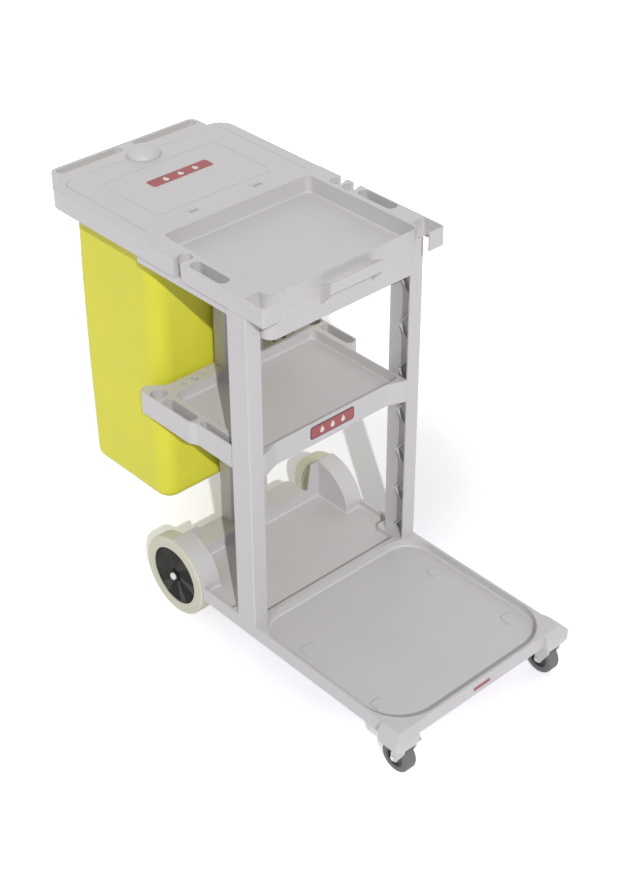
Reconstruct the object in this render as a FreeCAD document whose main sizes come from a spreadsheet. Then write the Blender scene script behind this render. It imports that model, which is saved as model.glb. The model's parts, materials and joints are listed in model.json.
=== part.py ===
import FreeCAD, Part
import os
import re
from math import atan2, pi, sin, sqrt, tan
from FreeCAD import Placement, Rotation, Vector

# A housekeeping cart of moulded plastic: a wheeled base, two ribbed posts and a rear column,
# a middle shelf, a top with a tray and a lidded hood, and a hanging bag.
# X runs along the cart to the open front platform, Y across it, Z up from the floor.
# The origin lies on the floor, in the middle of the cart's length and width.

doc = FreeCAD.newDocument("HousekeepingCart")
sheet = doc.addObject("Spreadsheet::Sheet", "Sizes")

SIZES = [
    # places along the cart are distances from the front face of the posts
    ("postFront", 125.5, "front face of the posts, from the middle of the length"),
    ("postDepth", 60.0, "depth of a post along the cart"),
    ("postWidth", 38.5, "width of a post's flanges"),
    ("postWall", 4.0, "wall of a post"),
    ("seamDrop", 6.0, "seam of the posts below the shelf's rim"),
    ("postRound", 4.0, "outer corner radius of a post"),
    ("ribDepth", 10.0, "height of the zig-zag ribs above a post's web"),
    ("ribWall", 3.0, "thickness of a zig-zag rib"),
    ("gussetReach", 22.0, "half height of the pointed gussets inside a post"),
    ("gussetDepth", 20.0, "reach of a gusset from the post's front flange"),
    ("gussetInset", 12.0, "gusset's edge inside the post's open side"),
    ("ribTiersLow", 4, "zig-zag tiers in a lower post"),
    ("ribTiersHigh", 3, "zig-zag tiers in an upper post"),
    ("columnBack", 350.0, "rear face of the rear column, behind the posts' front"),
    ("columnDepth", 42.0, "depth of the rear column"),
    ("columnWidth", 114.0, "width of the rear column"),
    ("columnWall", 3.5, "wall of the rear column"),
    ("columnRound", 4.0, "corner radius of the rear column"),
    # base
    ("casterPlay", 1.5, "room between a caster's tyre and its king pin"),
    ("rimHeight", 37.0, "height of the base's rim above its underside"),
    ("rimWidth", 6.0, "width of the base's rim"),
    ("rearRise", 18.0, "floor of the rear tray above the underside"),
    ("platformRise", 16.0, "floor of the platform above the underside"),
    ("floorSoft", 5.0, "radius between the base's floors and its rims"),
    ("floorWall", 4.0, "thickness of the base's floors and walls"),
    ("deckHalf", 251.5, "half width of the base"),
    ("deckFront", 459.0, "front face of the base, ahead of the posts' front"),
    ("deckRound", 20.0, "plan radius of the base's front corners"),
    ("ledgeHeight", 50.0, "height of the rear ledge"),
    ("ledgeHalf", 160.0, "half width of the rear ledge"),
    ("ledgeRound", 12.0, "plan radius of the rear ledge"),
    ("ridgeBack", 22.0, "rear of the ridge between tray and platform"),
    ("ridgeFront", 9.0, "front of that ridge"),
    ("landRear", 22.0, "length of the land behind a post"),
    ("landSide", 8.0, "width of the land beside a post"),
    ("landRound", 7.0, "corner radius of the rear tray beside a land"),
    ("finRound", 3.0, "corner radius of an arch's fin"),
    ("platformRearRound", 70.0, "rear corner radius of the platform"),
    ("platformFrontRound", 100.0, "front corner radius of the platform"),
    ("padSide", 30.0, "side of a square pad on the platform"),
    ("padRound", 4.0, "corner radius of a square pad"),
    ("padRise", 3.0, "height of a square pad"),
    ("padRear", 122.0, "rear pads, ahead of the posts' front"),
    ("padFrontInset", 107.0, "front pads, behind the base's front"),
    ("padRearInset", 52.5, "rear pads, inside the base's side"),
    ("padFrontSide", 46.5, "front pads, inside the base's side"),
    ("podLap", 51.0, "length of a pod behind the base's front"),
    ("podReach", 17.0, "reach of a pod ahead of the base"),
    ("podWidth", 71.0, "width of a pod"),
    ("podOverhang", 19.5, "reach of a pod past the base's side"),
    ("podEdge", 22.0, "height of a pod's upright sides"),
    ("podRound", 12.0, "plan radius of a pod's outer corner"),
    # rear wheels
    ("axleBack", 288.0, "rear axle, behind the posts' front"),
    ("wheelRadius", 101.6, "radius of a rear wheel"),
    ("wheelProud", 3.5, "reach of a rear wheel past the base's side"),
    ("wheelWidth", 40.0, "width of a rear wheel"),
    ("hubRadius", 74.0, "radius of a rear wheel's hub"),
    ("hubRim", 5.0, "rim of a rear wheel's hub"),
    ("hubBoss", 16.0, "boss radius of a rear wheel's hub"),
    ("hubWeb", 6.0, "web thickness of a rear wheel's hub"),
    ("hubDish", 4.0, "depth of the dish in a rear wheel's hub"),
    ("hubInset", 3.0, "rim of a rear wheel's hub, inside the tyre's faces"),
    ("hubBlades", 6, "blades of a rear wheel's hub"),
    ("bladeRoot", 0.6, "inner corner of a blade, as a share of the boss radius"),
    ("bladeSweep", 0.62, "sweep of a blade's outer corner, as a share of its reach"),
    ("tyreRound", 5.0, "edge radius of a rear tyre"),
    ("axleRadius", 6.0, "radius of the rear axle"),
    ("axleCapRadius", 9.0, "radius of an axle cap"),
    ("axleCapLength", 6.0, "length of an axle cap"),
    ("spacerWall", 4.0, "wall of the spacer tube on the axle"),
    ("archGap", 3.0, "gap between a tyre and its wheel arch"),
    ("archWall", 4.0, "wall of a wheel arch"),
    ("archPlay", 10.0, "room between a rear wheel and its arch wall"),
    ("finTopOut", 18.0, "inner top of an arch's fin, past the ledge"),
    ("finFootOut", 7.0, "inner foot of that fin, past the ledge"),
    # casters
    ("casterSetback", 24.0, "swivel axis, behind the pod's front"),
    ("casterInset", 43.0, "swivel axis, inside the pod's outer side"),
    ("casterTrail", 14.0, "trail of a caster wheel behind its swivel axis"),
    ("casterRadius", 38.1, "radius of a caster wheel"),
    ("casterWidth", 30.0, "width of a caster wheel"),
    ("casterHub", 24.0, "radius of a caster wheel's hub"),
    ("casterBolt", 4.0, "radius of a caster's axle bolt"),
    ("casterPlate", 60.0, "side of a caster's top plate"),
    ("casterPlateWall", 3.0, "thickness of a caster's top plate"),
    ("raceRadius", 19.0, "radius of a caster's bearing race"),
    ("raceHeight", 5.0, "height of a caster's bearing race"),
    ("kingPin", 4.0, "radius of a caster's king pin"),
    ("forkWall", 2.5, "wall of a caster fork"),
    ("forkGap", 1.5, "gap between a caster wheel and its fork"),
    ("kingPinCap", 1.2, "thickness of a king pin's head"),
    ("casterBoltHead", 6.0, "radius of a caster bolt's head"),
    ("casterBoss", 9.0, "boss radius of a caster wheel's hub"),
    ("casterHubWall", 4.0, "wall of a caster wheel's hub"),
    ("kingPinHead", 6.0, "radius of a king pin's head"),
    ("forkTip", 8.0, "tip radius of a caster fork"),
    ("forkHalf", 18.0, "half length of a caster fork's crown"),
    # middle shelf
    ("shelfUnder", 523.0, "underside of the middle shelf"),
    ("shelfRise", 31.0, "floor of the shelf above its underside"),
    ("shelfDepth", 57.0, "depth of the middle shelf"),
    ("shelfInset", 0.5, "side of the shelf inside the posts' faces"),
    ("shelfSide", 44.0, "width of the shelf's sides"),
    ("shelfWall", 4.0, "walls and floor of the middle shelf"),
    ("waistInset", 10.0, "step of the shelf's side between ear and post"),
    ("shelfStepBack", 203.0, "where the shelf's side steps in"),
    ("shelfStepFront", 187.0, "where that step ends"),
    ("shelfRound", 15.0, "corner radius inside the middle shelf"),
    ("earReach", 28.0, "reach of the ears behind the column"),
    ("earWidth", 23.0, "width of the ears' straight rear edge"),
    ("earRound", 10.0, "corner radius of the shelf's ears"),
    ("earSlope", 35.0, "run of the slope between an ear and the rear rim"),
    ("earHole", 19.0, "radius of the round holder in an ear"),
    ("earHoleSet", 45.0, "round holder, ahead of the ear's rear"),
    ("earHoleInset", 21.0, "round holder, inside the shelf's side"),
    ("apronBack", 17.0, "face of the shelf's front apron, behind the posts' front"),
    ("apronRun", 44.0, "run of the apron's curved ends across the cart"),
    ("apronRound", 20.0, "radius of the apron's curved ends"),
    ("pocketBack", 305.0, "rear of the side pocket"),
    ("pocketFront", 197.0, "front of the side pocket"),
    ("pocketWidth", 26.0, "width of the side pocket"),
    ("pocketRound", 12.0, "corner radius of the side pocket"),
    ("smallPocketRound", 8.0, "corner radius of the small pocket"),
    ("smallPocketBack", 185.0, "rear of the small pocket"),
    ("smallPocketFront", 72.0, "front of the small pocket"),
    ("toolHole", 4.5, "radius of a small tool hole"),
    ("toolHoleWide", 8.0, "radius of the wide tool hole"),
    ("toolHoleSet", 22.0, "tool holes, ahead of the column's rear"),
    ("toolHoleHalf", 132.0, "wide tool hole, from the middle plane"),
    ("toolHolePitch", 29.0, "pitch of the tool holes"),
    # head frame, tray and front panel
    ("headDepth", 21.0, "depth of the head frame"),
    ("topDepth", 44.0, "depth of the tray and the hood"),
    ("headLap", 6.0, "reach of the head frame behind the column"),
    ("headInset", 7.0, "side of the head frame inside the tray's"),
    ("headFlange", 56.0, "width of the head frame's rear flange"),
    ("headSide", 20.0, "width of the head frame's side flange"),
    ("headWall", 4.0, "wall of the head frame"),
    ("topLevel", 975.0, "top surface of tray and hood"),
    ("topOverhang", 1.5, "reach of tray and hood past the posts"),
    ("seamInset", 26.0, "seam of tray and hood, ahead of the head frame's rear"),
    ("trayRim", 14.0, "width of the tray's rear rim"),
    ("trayFront", 27.0, "front face of the tray, ahead of the posts' front"),
    ("traySide", 48.0, "width of the tray's sides"),
    ("trayBase", 3.0, "thickness of the tray's floor"),
    ("trayRound", 14.0, "corner radius of the tray's recess"),
    ("trayWall", 4.0, "walls of the tray"),
    ("panelGap", 1.0, "gap between the front panel and a post"),
    ("panelRound", 22.0, "corner radius of the front panel"),
    ("panelDrop", 61.0, "reach of the front panel below the tray"),
    ("hookReach", 30.0, "reach of the corner hooks ahead of the tray"),
    ("hookWidth", 45.0, "width of a corner hook"),
    ("hookBack", 2.0, "rear wall of a corner hook, behind the posts' front"),
    ("hookRound", 6.0, "corner radius of a corner hook"),
    ("sidePocketBack", 181.0, "rear of the tray's side pocket"),
    ("sidePocketFront", 73.0, "front of the tray's side pocket"),
    ("sidePocketWidth", 29.0, "width of the tray's side pocket"),
    ("sidePocketRise", 3.0, "floor of the tray's side pocket, above the tray's floor"),
    ("sidePocketRound", 13.0, "corner radius of the tray's side pocket"),
    ("notchRadius", 16.0, "radius of a handle notch"),
    ("notchThroat", 22.0, "throat of a handle notch"),
    ("notchInset", 22.0, "middle of a handle notch, inside the tray's side"),
    ("notchFirst", 210.0, "first handle notch, behind the posts' front"),
    ("notchPitch", 41.0, "pitch of the two handle notches on the far side"),
    ("pullHalf", 74.0, "half length of the front pull"),
    ("pullReach", 30.0, "reach of the front pull ahead of the tray's front"),
    ("pullDepth", 26.0, "depth of the pull's lip"),
    ("pullDrop", 13.0, "drop of the pull's lip below the tray's top"),
    ("pullFootDrop", 35.0, "drop of the pull's cheeks below its lip"),
    ("pullHeadDrop", 14.0, "drop of the cheeks' heads"),
    ("pullWall", 4.0, "wall of the pull"),
    # hood, lid and bag
    ("hoodBack", 672.0, "rear of the hood, behind the posts' front"),
    ("hoodRound", 45.0, "rear corner radius of the hood"),
    ("railReach", 55.0, "reach of the handle rail behind the hood"),
    ("railRound", 22.0, "corner radius of the handle rail"),
    ("railWidth", 11.0, "width of the handle rail behind its slots"),
    ("slotInset", 19.0, "front edge of a slot, behind the hood's rear"),
    ("slotRound", 12.0, "corner radius of a handle slot"),
    ("slotInner", 18.0, "inner end of a handle slot"),
    ("slotEnd", 11.0, "rail beside the outer end of a slot"),
    ("hoodWall", 4.0, "wall of the hood"),
    ("hoodPlate", 8.0, "thickness of the hood's top"),
    ("barWidth", 20.0, "width of the hood's front bar"),
    ("lidRear", 20.0, "rear edge of the lid, inside the hood's rear"),
    ("lidInset", 32.0, "side of the lid inside the hood's"),
    ("lidRound", 28.0, "rear corner radius of the lid"),
    ("lidWall", 5.0, "thickness of the lid"),
    ("lidGap", 0.8, "gap around the lid"),
    ("lidRest", 0.3, "gap under the lid"),
    ("barrelRadius", 5.5, "radius of the lid's hinge barrel"),
    ("barrelSet", 2.0, "hinge axis behind the front bar"),
    ("knuckleHalf", 90.0, "hinge knuckles, from the middle plane"),
    ("knuckleWidth", 20.0, "width of a hinge knuckle"),
    ("hingePin", 2.0, "radius of a hinge pin"),
    ("hingePinLength", 56.0, "length of a hinge pin"),
    ("domeSet", 7.0, "middle of the dome, ahead of the lid's rear"),
    ("domeLong", 38.0, "half length of the dome along the cart"),
    ("domeWide", 41.0, "half width of the dome"),
    ("domeHigh", 22.0, "height of the dome"),
    ("domeFoot", 23.0, "half width of the foot that carries the dome on the lid"),
    ("frameBack", 60.0, "raised frame on the lid, ahead of the lid's rear edge"),
    ("frameFront", 36.0, "raised frame, behind the hinge axis"),
    ("frameHalf", 162.0, "half width of the raised frame"),
    ("frameLine", 3.0, "width of the raised frame's line"),
    ("frameRise", 0.6, "height of the raised frame"),
    ("frameRound", 14.0, "corner radius of the raised frame"),
    ("bagRear", 20.0, "rear of the bag inside the hood's"),
    ("bagAhead", 2.5, "gap between the bag and the head frame"),
    ("bagInset", 43.5, "side of the bag inside the hood's"),
    ("bagRound", 40.0, "corner radius of the bag"),
    ("bagUnder", 243.0, "underside of the bag"),
    ("bagLap", 3.0, "lap of the bag above the hood's lower edge"),
    ("bagWall", 2.5, "thickness of the bag's cloth"),
    ("collarWall", 3.0, "wall of the bag's collar"),
    ("collarDrop", 9.0, "drop of the collar below the hood"),
    ("running", 0.05, "radial running clearance of a shaft"),
    ("edgeSoft", 3.0, "rounding of the hood's outer edges"),
    ("airGap", 0.3, "clearance beside a moving or soft piece"),
]

# Places that follow from the sizes: each piece is set where its neighbour carries it.
PLACES = [
    ("kingPinFoot", "2 * casterRadius + casterPlay", "underside of a king pin's head"),
    ("deckUnder", "kingPinFoot + kingPinCap + forkWall + raceHeight + casterPlateWall + 2 * airGap",
     "underside of the base"),
    ("rimTop", "deckUnder + rimHeight", "top of the base's rim"),
    ("rearFloor", "deckUnder + rearRise", "floor of the rear tray of the base"),
    ("platformFloor", "deckUnder + platformRise", "floor of the front platform"),
    ("ledgeTop", "deckUnder + ledgeHeight", "top of the rear ledge"),
    ("podShoulder", "deckUnder + podEdge", "height where a pod's top begins to slope"),
    ("postHalf", "deckHalf", "outer face of a post, from the middle plane"),
    ("ledgeFront", "axleBack - archWall", "front of the rear ledge, behind the posts' front"),
    ("landBack", "postDepth + landRear", "rear of the land under a post"),
    ("landInner", "postHalf - postWidth - landSide", "inner side of the land under a post"),
    ("padFront", "deckFront - padFrontInset", "front pads, ahead of the posts' front"),
    ("padRearHalf", "deckHalf - padRearInset", "rear pads, from the middle plane"),
    ("padFrontHalf", "deckHalf - padFrontSide", "front pads, from the middle plane"),
    ("podBack", "deckFront - podLap", "rear of a caster pod, ahead of the posts' front"),
    ("podFront", "deckFront + podReach", "front of a caster pod"),
    ("podOuter", "deckHalf + podOverhang", "outer side of a caster pod"),
    ("podInner", "podOuter - podWidth", "inner side of a caster pod"),
    ("wheelOuter", "deckHalf + wheelProud", "outer face of a rear wheel, from the middle plane"),
    ("archInner", "wheelOuter - wheelWidth - archPlay - archWall",
     "inner face of a wheel arch, from the middle plane"),
    ("finTop", "ledgeHalf + finTopOut", "inner top of the fin beside a wheel arch"),
    ("finFoot", "ledgeHalf + finFootOut", "inner foot of that fin"),
    ("casterAxis", "podFront - casterSetback", "swivel axis, ahead of the posts' front"),
    ("casterHalf", "podOuter - casterInset", "swivel axis, from the middle plane"),
    ("shelfFloor", "shelfUnder + shelfRise", "floor of the middle shelf"),
    ("shelfTop", "shelfUnder + shelfDepth", "rim of the middle shelf"),
    ("postSeam", "shelfTop - seamDrop", "height where the lower post meets the upper one"),
    ("shelfHalf", "postHalf - shelfInset", "outer side of the middle shelf, from the middle plane"),
    ("shelfInner", "shelfHalf - shelfSide", "inner side wall of the middle shelf"),
    ("shelfRimFront", "columnBack - columnDepth", "front of the shelf's rear rim"),
    ("shelfWaist", "shelfHalf - waistInset", "side of the shelf between ear and post"),
    ("earBack", "columnBack + earReach", "rear of the shelf's ears"),
    ("earInner", "shelfHalf - earWidth", "inner side of the shelf's ears"),
    ("earHoleBack", "earBack - earHoleSet", "round holder, behind the posts' front"),
    ("earHoleHalf", "shelfHalf - earHoleInset", "round holder, from the middle plane"),
    ("pocketInner", "shelfHalf - shelfWall - pocketWidth", "inner side of the side pocket"),
    ("toolHoleBack", "columnBack - toolHoleSet", "tool holes, behind the posts' front"),
    ("headTop", "topLevel - topDepth", "top of the head frame"),
    ("headUnder", "headTop - headDepth", "underside of the head frame"),
    ("headBack", "columnBack + headLap", "rear of the head frame, behind the posts' front"),
    ("topHalf", "postHalf + topOverhang", "half width of tray and hood"),
    ("headHalf", "topHalf - headInset", "half width of the head frame"),
    ("seamBack", "headBack - seamInset", "seam of tray and hood, behind the posts' front"),
    ("trayBack", "seamBack - trayRim", "rear of the tray's recess"),
    ("trayHalf", "topHalf - traySide", "half width of the tray's recess"),
    ("trayFloor", "headTop + trayBase", "floor of the tray"),
    ("panelHalf", "postHalf - postWidth - panelGap", "half width of the front panel"),
    ("panelUnder", "headTop - panelDrop", "underside of the front panel"),
    ("hookFront", "trayFront + hookReach", "front of the corner hooks, ahead of the posts' front"),
    ("hookInner", "topHalf - hookWidth", "inner end of a corner hook"),
    ("sidePocketInner", "topHalf - trayWall - sidePocketWidth", "inner side of the tray's side pocket"),
    ("sidePocketFloor", "trayFloor + sidePocketRise", "floor of the tray's side pocket"),
    ("notchHalf", "topHalf - notchInset", "middle of a handle notch, from the middle plane"),
    ("pullHigh", "topLevel - pullDrop", "upper edge of the pull's lip"),
    ("pullLow", "pullHigh - pullDepth", "lower edge of the pull's lip"),
    ("pullFoot", "pullLow - pullFootDrop", "foot of the pull's cheeks"),
    ("pullHead", "pullHigh - pullHeadDrop", "head of the pull's cheeks"),
    ("railBack", "hoodBack + railReach", "rear of the handle rail"),
    ("railHalf", "topHalf - hoodRound", "half length of the handle rail"),
    ("slotBack", "railBack - railWidth", "rear edge of a handle slot"),
    ("slotFront", "hoodBack + slotInset", "front edge of a handle slot"),
    ("slotOuter", "railHalf - slotEnd", "outer end of a handle slot"),
    ("barBack", "seamBack + barWidth", "rear of the hood's front bar"),
    ("lidBack", "hoodBack - lidRear", "rear edge of the lid"),
    ("lidHalf", "topHalf - lidInset", "half width of the lid"),
    ("barrelBack", "barBack + barrelSet", "hinge axis, behind the posts' front"),
    ("domeBack", "lidBack - domeSet", "middle of the lid's finger dome"),
    ("bagBack", "hoodBack - bagRear", "rear face of the bag"),
    ("bagFront", "headBack + bagAhead", "front face of the bag"),
    ("bagHalf", "topHalf - bagInset", "half width of the bag"),
    ("bagTop", "headTop + bagLap", "top edge of the bag"),
    ("collarUnder", "headTop - collarDrop", "underside of the bag's collar"),
]

for row, (alias, value, note) in enumerate(SIZES, start=1):
    sheet.set("A%d" % row, alias)
    sheet.set("B%d" % row, str(value))
    sheet.setAlias("B%d" % row, alias)
    sheet.set("C%d" % row, note)
doc.recompute()


def formula(text):
    """Expression in the sheets' terms: each alias in the text gets its sheet's name."""
    return re.sub(r"[A-Za-z]\w*", lambda word: HOME[word.group()] + word.group(), text)


HOME = {alias: "Sizes." for alias, value, note in SIZES}
HOME.update({alias: "Places." for alias, text, note in PLACES})
places = doc.addObject("Spreadsheet::Sheet", "Places")
for row, (alias, text, note) in enumerate(PLACES, start=1):
    places.set("A%d" % row, alias)
    places.setAlias("B%d" % row, alias)
    places.set("C%d" % row, note)
for row, (alias, text, note) in enumerate(PLACES, start=1):
    places.set("B%d" % row, "=" + formula(text))
doc.recompute()


def size(alias):
    """Value of one size or place."""
    home = sheet if HOME[alias] == "Sizes." else places
    return float(home.get(alias))


def along(alias):
    """Place behind the front face of the posts."""
    return size("postFront") - size(alias)


def ahead(alias):
    """Place ahead of the front face of the posts."""
    return size("postFront") + size(alias)


# ---------------------------------------------------------------- drawing helpers

def outline(points):
    """Closed outline through corners (x, y, radius), with round corners as arcs."""
    corners = []
    count = len(points)
    for index, (x, y, radius) in enumerate(points):
        here = Vector(x, y, 0)
        before = Vector(points[index - 1][0], points[index - 1][1], 0)
        after = Vector(points[(index + 1) % count][0], points[(index + 1) % count][1], 0)
        back = (before - here).normalize()
        onward = (after - here).normalize()
        if radius == 0:
            corners.append((here, None, here))
            continue
        half = back.getAngle(onward) / 2
        start = here + back * (radius / tan(half))
        stop = here + onward * (radius / tan(half))
        centre = here + (back + onward).normalize() * (radius / sin(half))
        first = atan2(start.y - centre.y, start.x - centre.x)
        sweep = atan2(stop.y - centre.y, stop.x - centre.x) - first
        sweep = (sweep + pi) % (2 * pi) - pi
        low = first + min(sweep, 0)
        ring = Part.Circle(centre, Vector(0, 0, 1), radius)
        corners.append((start, Part.ArcOfCircle(ring, low, low + abs(sweep)), stop))
    edges = []
    for index, (start, arc, stop) in enumerate(corners):
        if arc is not None:
            edges.append(arc)
        following = corners[(index + 1) % count][0]
        if (following - stop).Length > 1e-6:
            edges.append(Part.LineSegment(stop, following))
    return edges


def box_outline(x0, x1, y0, y1, radius=0):
    """Rectangle with equal corner radii."""
    return outline([(x0, y0, radius), (x1, y0, radius), (x1, y1, radius), (x0, y1, radius)])


def ring_outline(x, y, radius):
    """Circle."""
    return [Part.Circle(Vector(x, y, 0), Vector(0, 0, 1), radius)]


def mirrored(points):
    """Corners of a half outline, followed by their mirror images across the cart."""
    return points + [(x, -y, radius) for x, y, radius in reversed(points)]


def new_body(label):
    """Empty body for one sub-part."""
    body = doc.addObject("PartDesign::Body", label)
    body.Label = label
    return body


def origin_plane(body, role):
    """Origin plane of a body."""
    for feature in body.Origin.OriginFeatures:
        if feature.Role == role:
            return feature


def draw(body, edges, role, offset):
    """Sketch on a body's origin plane, shifted along the plane's normal by an expression."""
    sketch = body.newObject("Sketcher::SketchObject", body.Label + "_sketch")
    sketch.AttachmentSupport = [(origin_plane(body, role), "")]
    sketch.MapMode = "FlatFace"
    sketch.setExpression("AttachmentOffset.Base.z", formula(offset))
    sketch.addGeometry(edges, False)
    return sketch


def pad(body, edges, low, high, role="XY_Plane"):
    """Material between two levels along Z (XY), X (YZ) or Y (XZ), given as expressions."""
    offset = "-(%s)" % high if role == "XZ_Plane" else low
    feature = body.newObject("PartDesign::Pad", body.Label + "_pad")
    feature.Profile = draw(body, edges, role, offset)
    feature.setExpression("Length", formula("(%s) - (%s)" % (high, low)))
    doc.recompute()
    return feature


def pocket(body, edges, low, high, role="XY_Plane"):
    """Cut between two levels along Z (XY), X (YZ) or Y (XZ), given as expressions."""
    before = body.Shape.Volume
    offset = "-(%s)" % low if role == "XZ_Plane" else high
    feature = body.newObject("PartDesign::Pocket", body.Label + "_pocket")
    feature.Profile = draw(body, edges, role, offset)
    feature.setExpression("Length", formula("(%s) - (%s)" % (high, low)))
    doc.recompute()
    if body.Shape.Volume > before - 1e-3:
        raise RuntimeError("a pocket of %s cuts nothing" % body.Label)
    return feature


def revolve(body, edges, role, axis):
    """Full revolution of a profile about an axis of its sketch."""
    sketch = draw(body, edges, role, "0")
    feature = body.newObject("PartDesign::Revolution", body.Label + "_revolution")
    feature.Profile = sketch
    feature.ReferenceAxis = (sketch, [axis])
    feature.Angle = 360
    doc.recompute()
    return feature


def across(side, inner, outer):
    """Two levels at one side of the cart, lower one first, as expressions."""
    if side > 0:
        return inner, outer
    return "-(%s)" % outer, "-(%s)" % inner


def place(body, x, y, z):
    """Move a body to a place given as expressions."""
    for axis, text in zip("xyz", (x, y, z)):
        body.setExpression("Placement.Base." + axis, formula(text))


def picked(body, wanted):
    """A body's last feature with the names of its edges that a test picks."""
    edges = enumerate(body.Tip.Shape.Edges, start=1)
    return body.Tip, ["Edge%d" % index for index, edge in edges if wanted(edge)]


def round_edges(body, radius, wanted):
    """Fillet the edges of a body that a test picks."""
    base = picked(body, wanted)
    fillet = body.newObject("PartDesign::Fillet", body.Label + "_round")
    fillet.Base = base
    fillet.setExpression("Radius", formula(radius))
    doc.recompute()


def bevel_edges(body, width, wanted):
    """Chamfer the edges of a body that a test picks."""
    base = picked(body, wanted)
    chamfer = body.newObject("PartDesign::Chamfer", body.Label + "_bevel")
    chamfer.Base = base
    chamfer.setExpression("Size", formula(width))
    doc.recompute()


def at_height(edge, level):
    """True for an edge that lies at one height."""
    box = edge.BoundBox
    return abs(box.ZMin - level) < 1e-4 and abs(box.ZMax - level) < 1e-4


def lies_at(edge, x):
    """True for an edge that lies in one plane across the cart."""
    box = edge.BoundBox
    return abs(box.XMin - x) < 1e-4 and abs(box.XMax - x) < 1e-4


def within(edge, x0, x1, y_reach):
    """True for an edge between two places along the cart and within a half width."""
    box = edge.BoundBox
    inside = box.XMin > x0 - 1e-4 and box.XMax < x1 + 1e-4
    return inside and max(abs(box.YMin), abs(box.YMax)) < y_reach + 1e-4


def cylinder_across(label, radius, low, high, x, z):
    """Round bar across the cart, all in expressions."""
    bar = doc.addObject("Part::Cylinder", label)
    bar.Label = label
    bar.Placement = Placement(Vector(), Rotation(Vector(1, 0, 0), -90))
    bar.setExpression("Radius", formula(radius))
    bar.setExpression("Height", formula("(%s) - (%s)" % (high, low)))
    place(bar, x, low, z)
    return bar


SIDES = (("right", -1), ("left", 1))
# handle notches: side of the cart, and pitches behind the first one
NOTCHES = ((-1, 0), (1, 0), (1, 1))
PIECES = []


# ---------------------------------------------------------------- base

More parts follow.
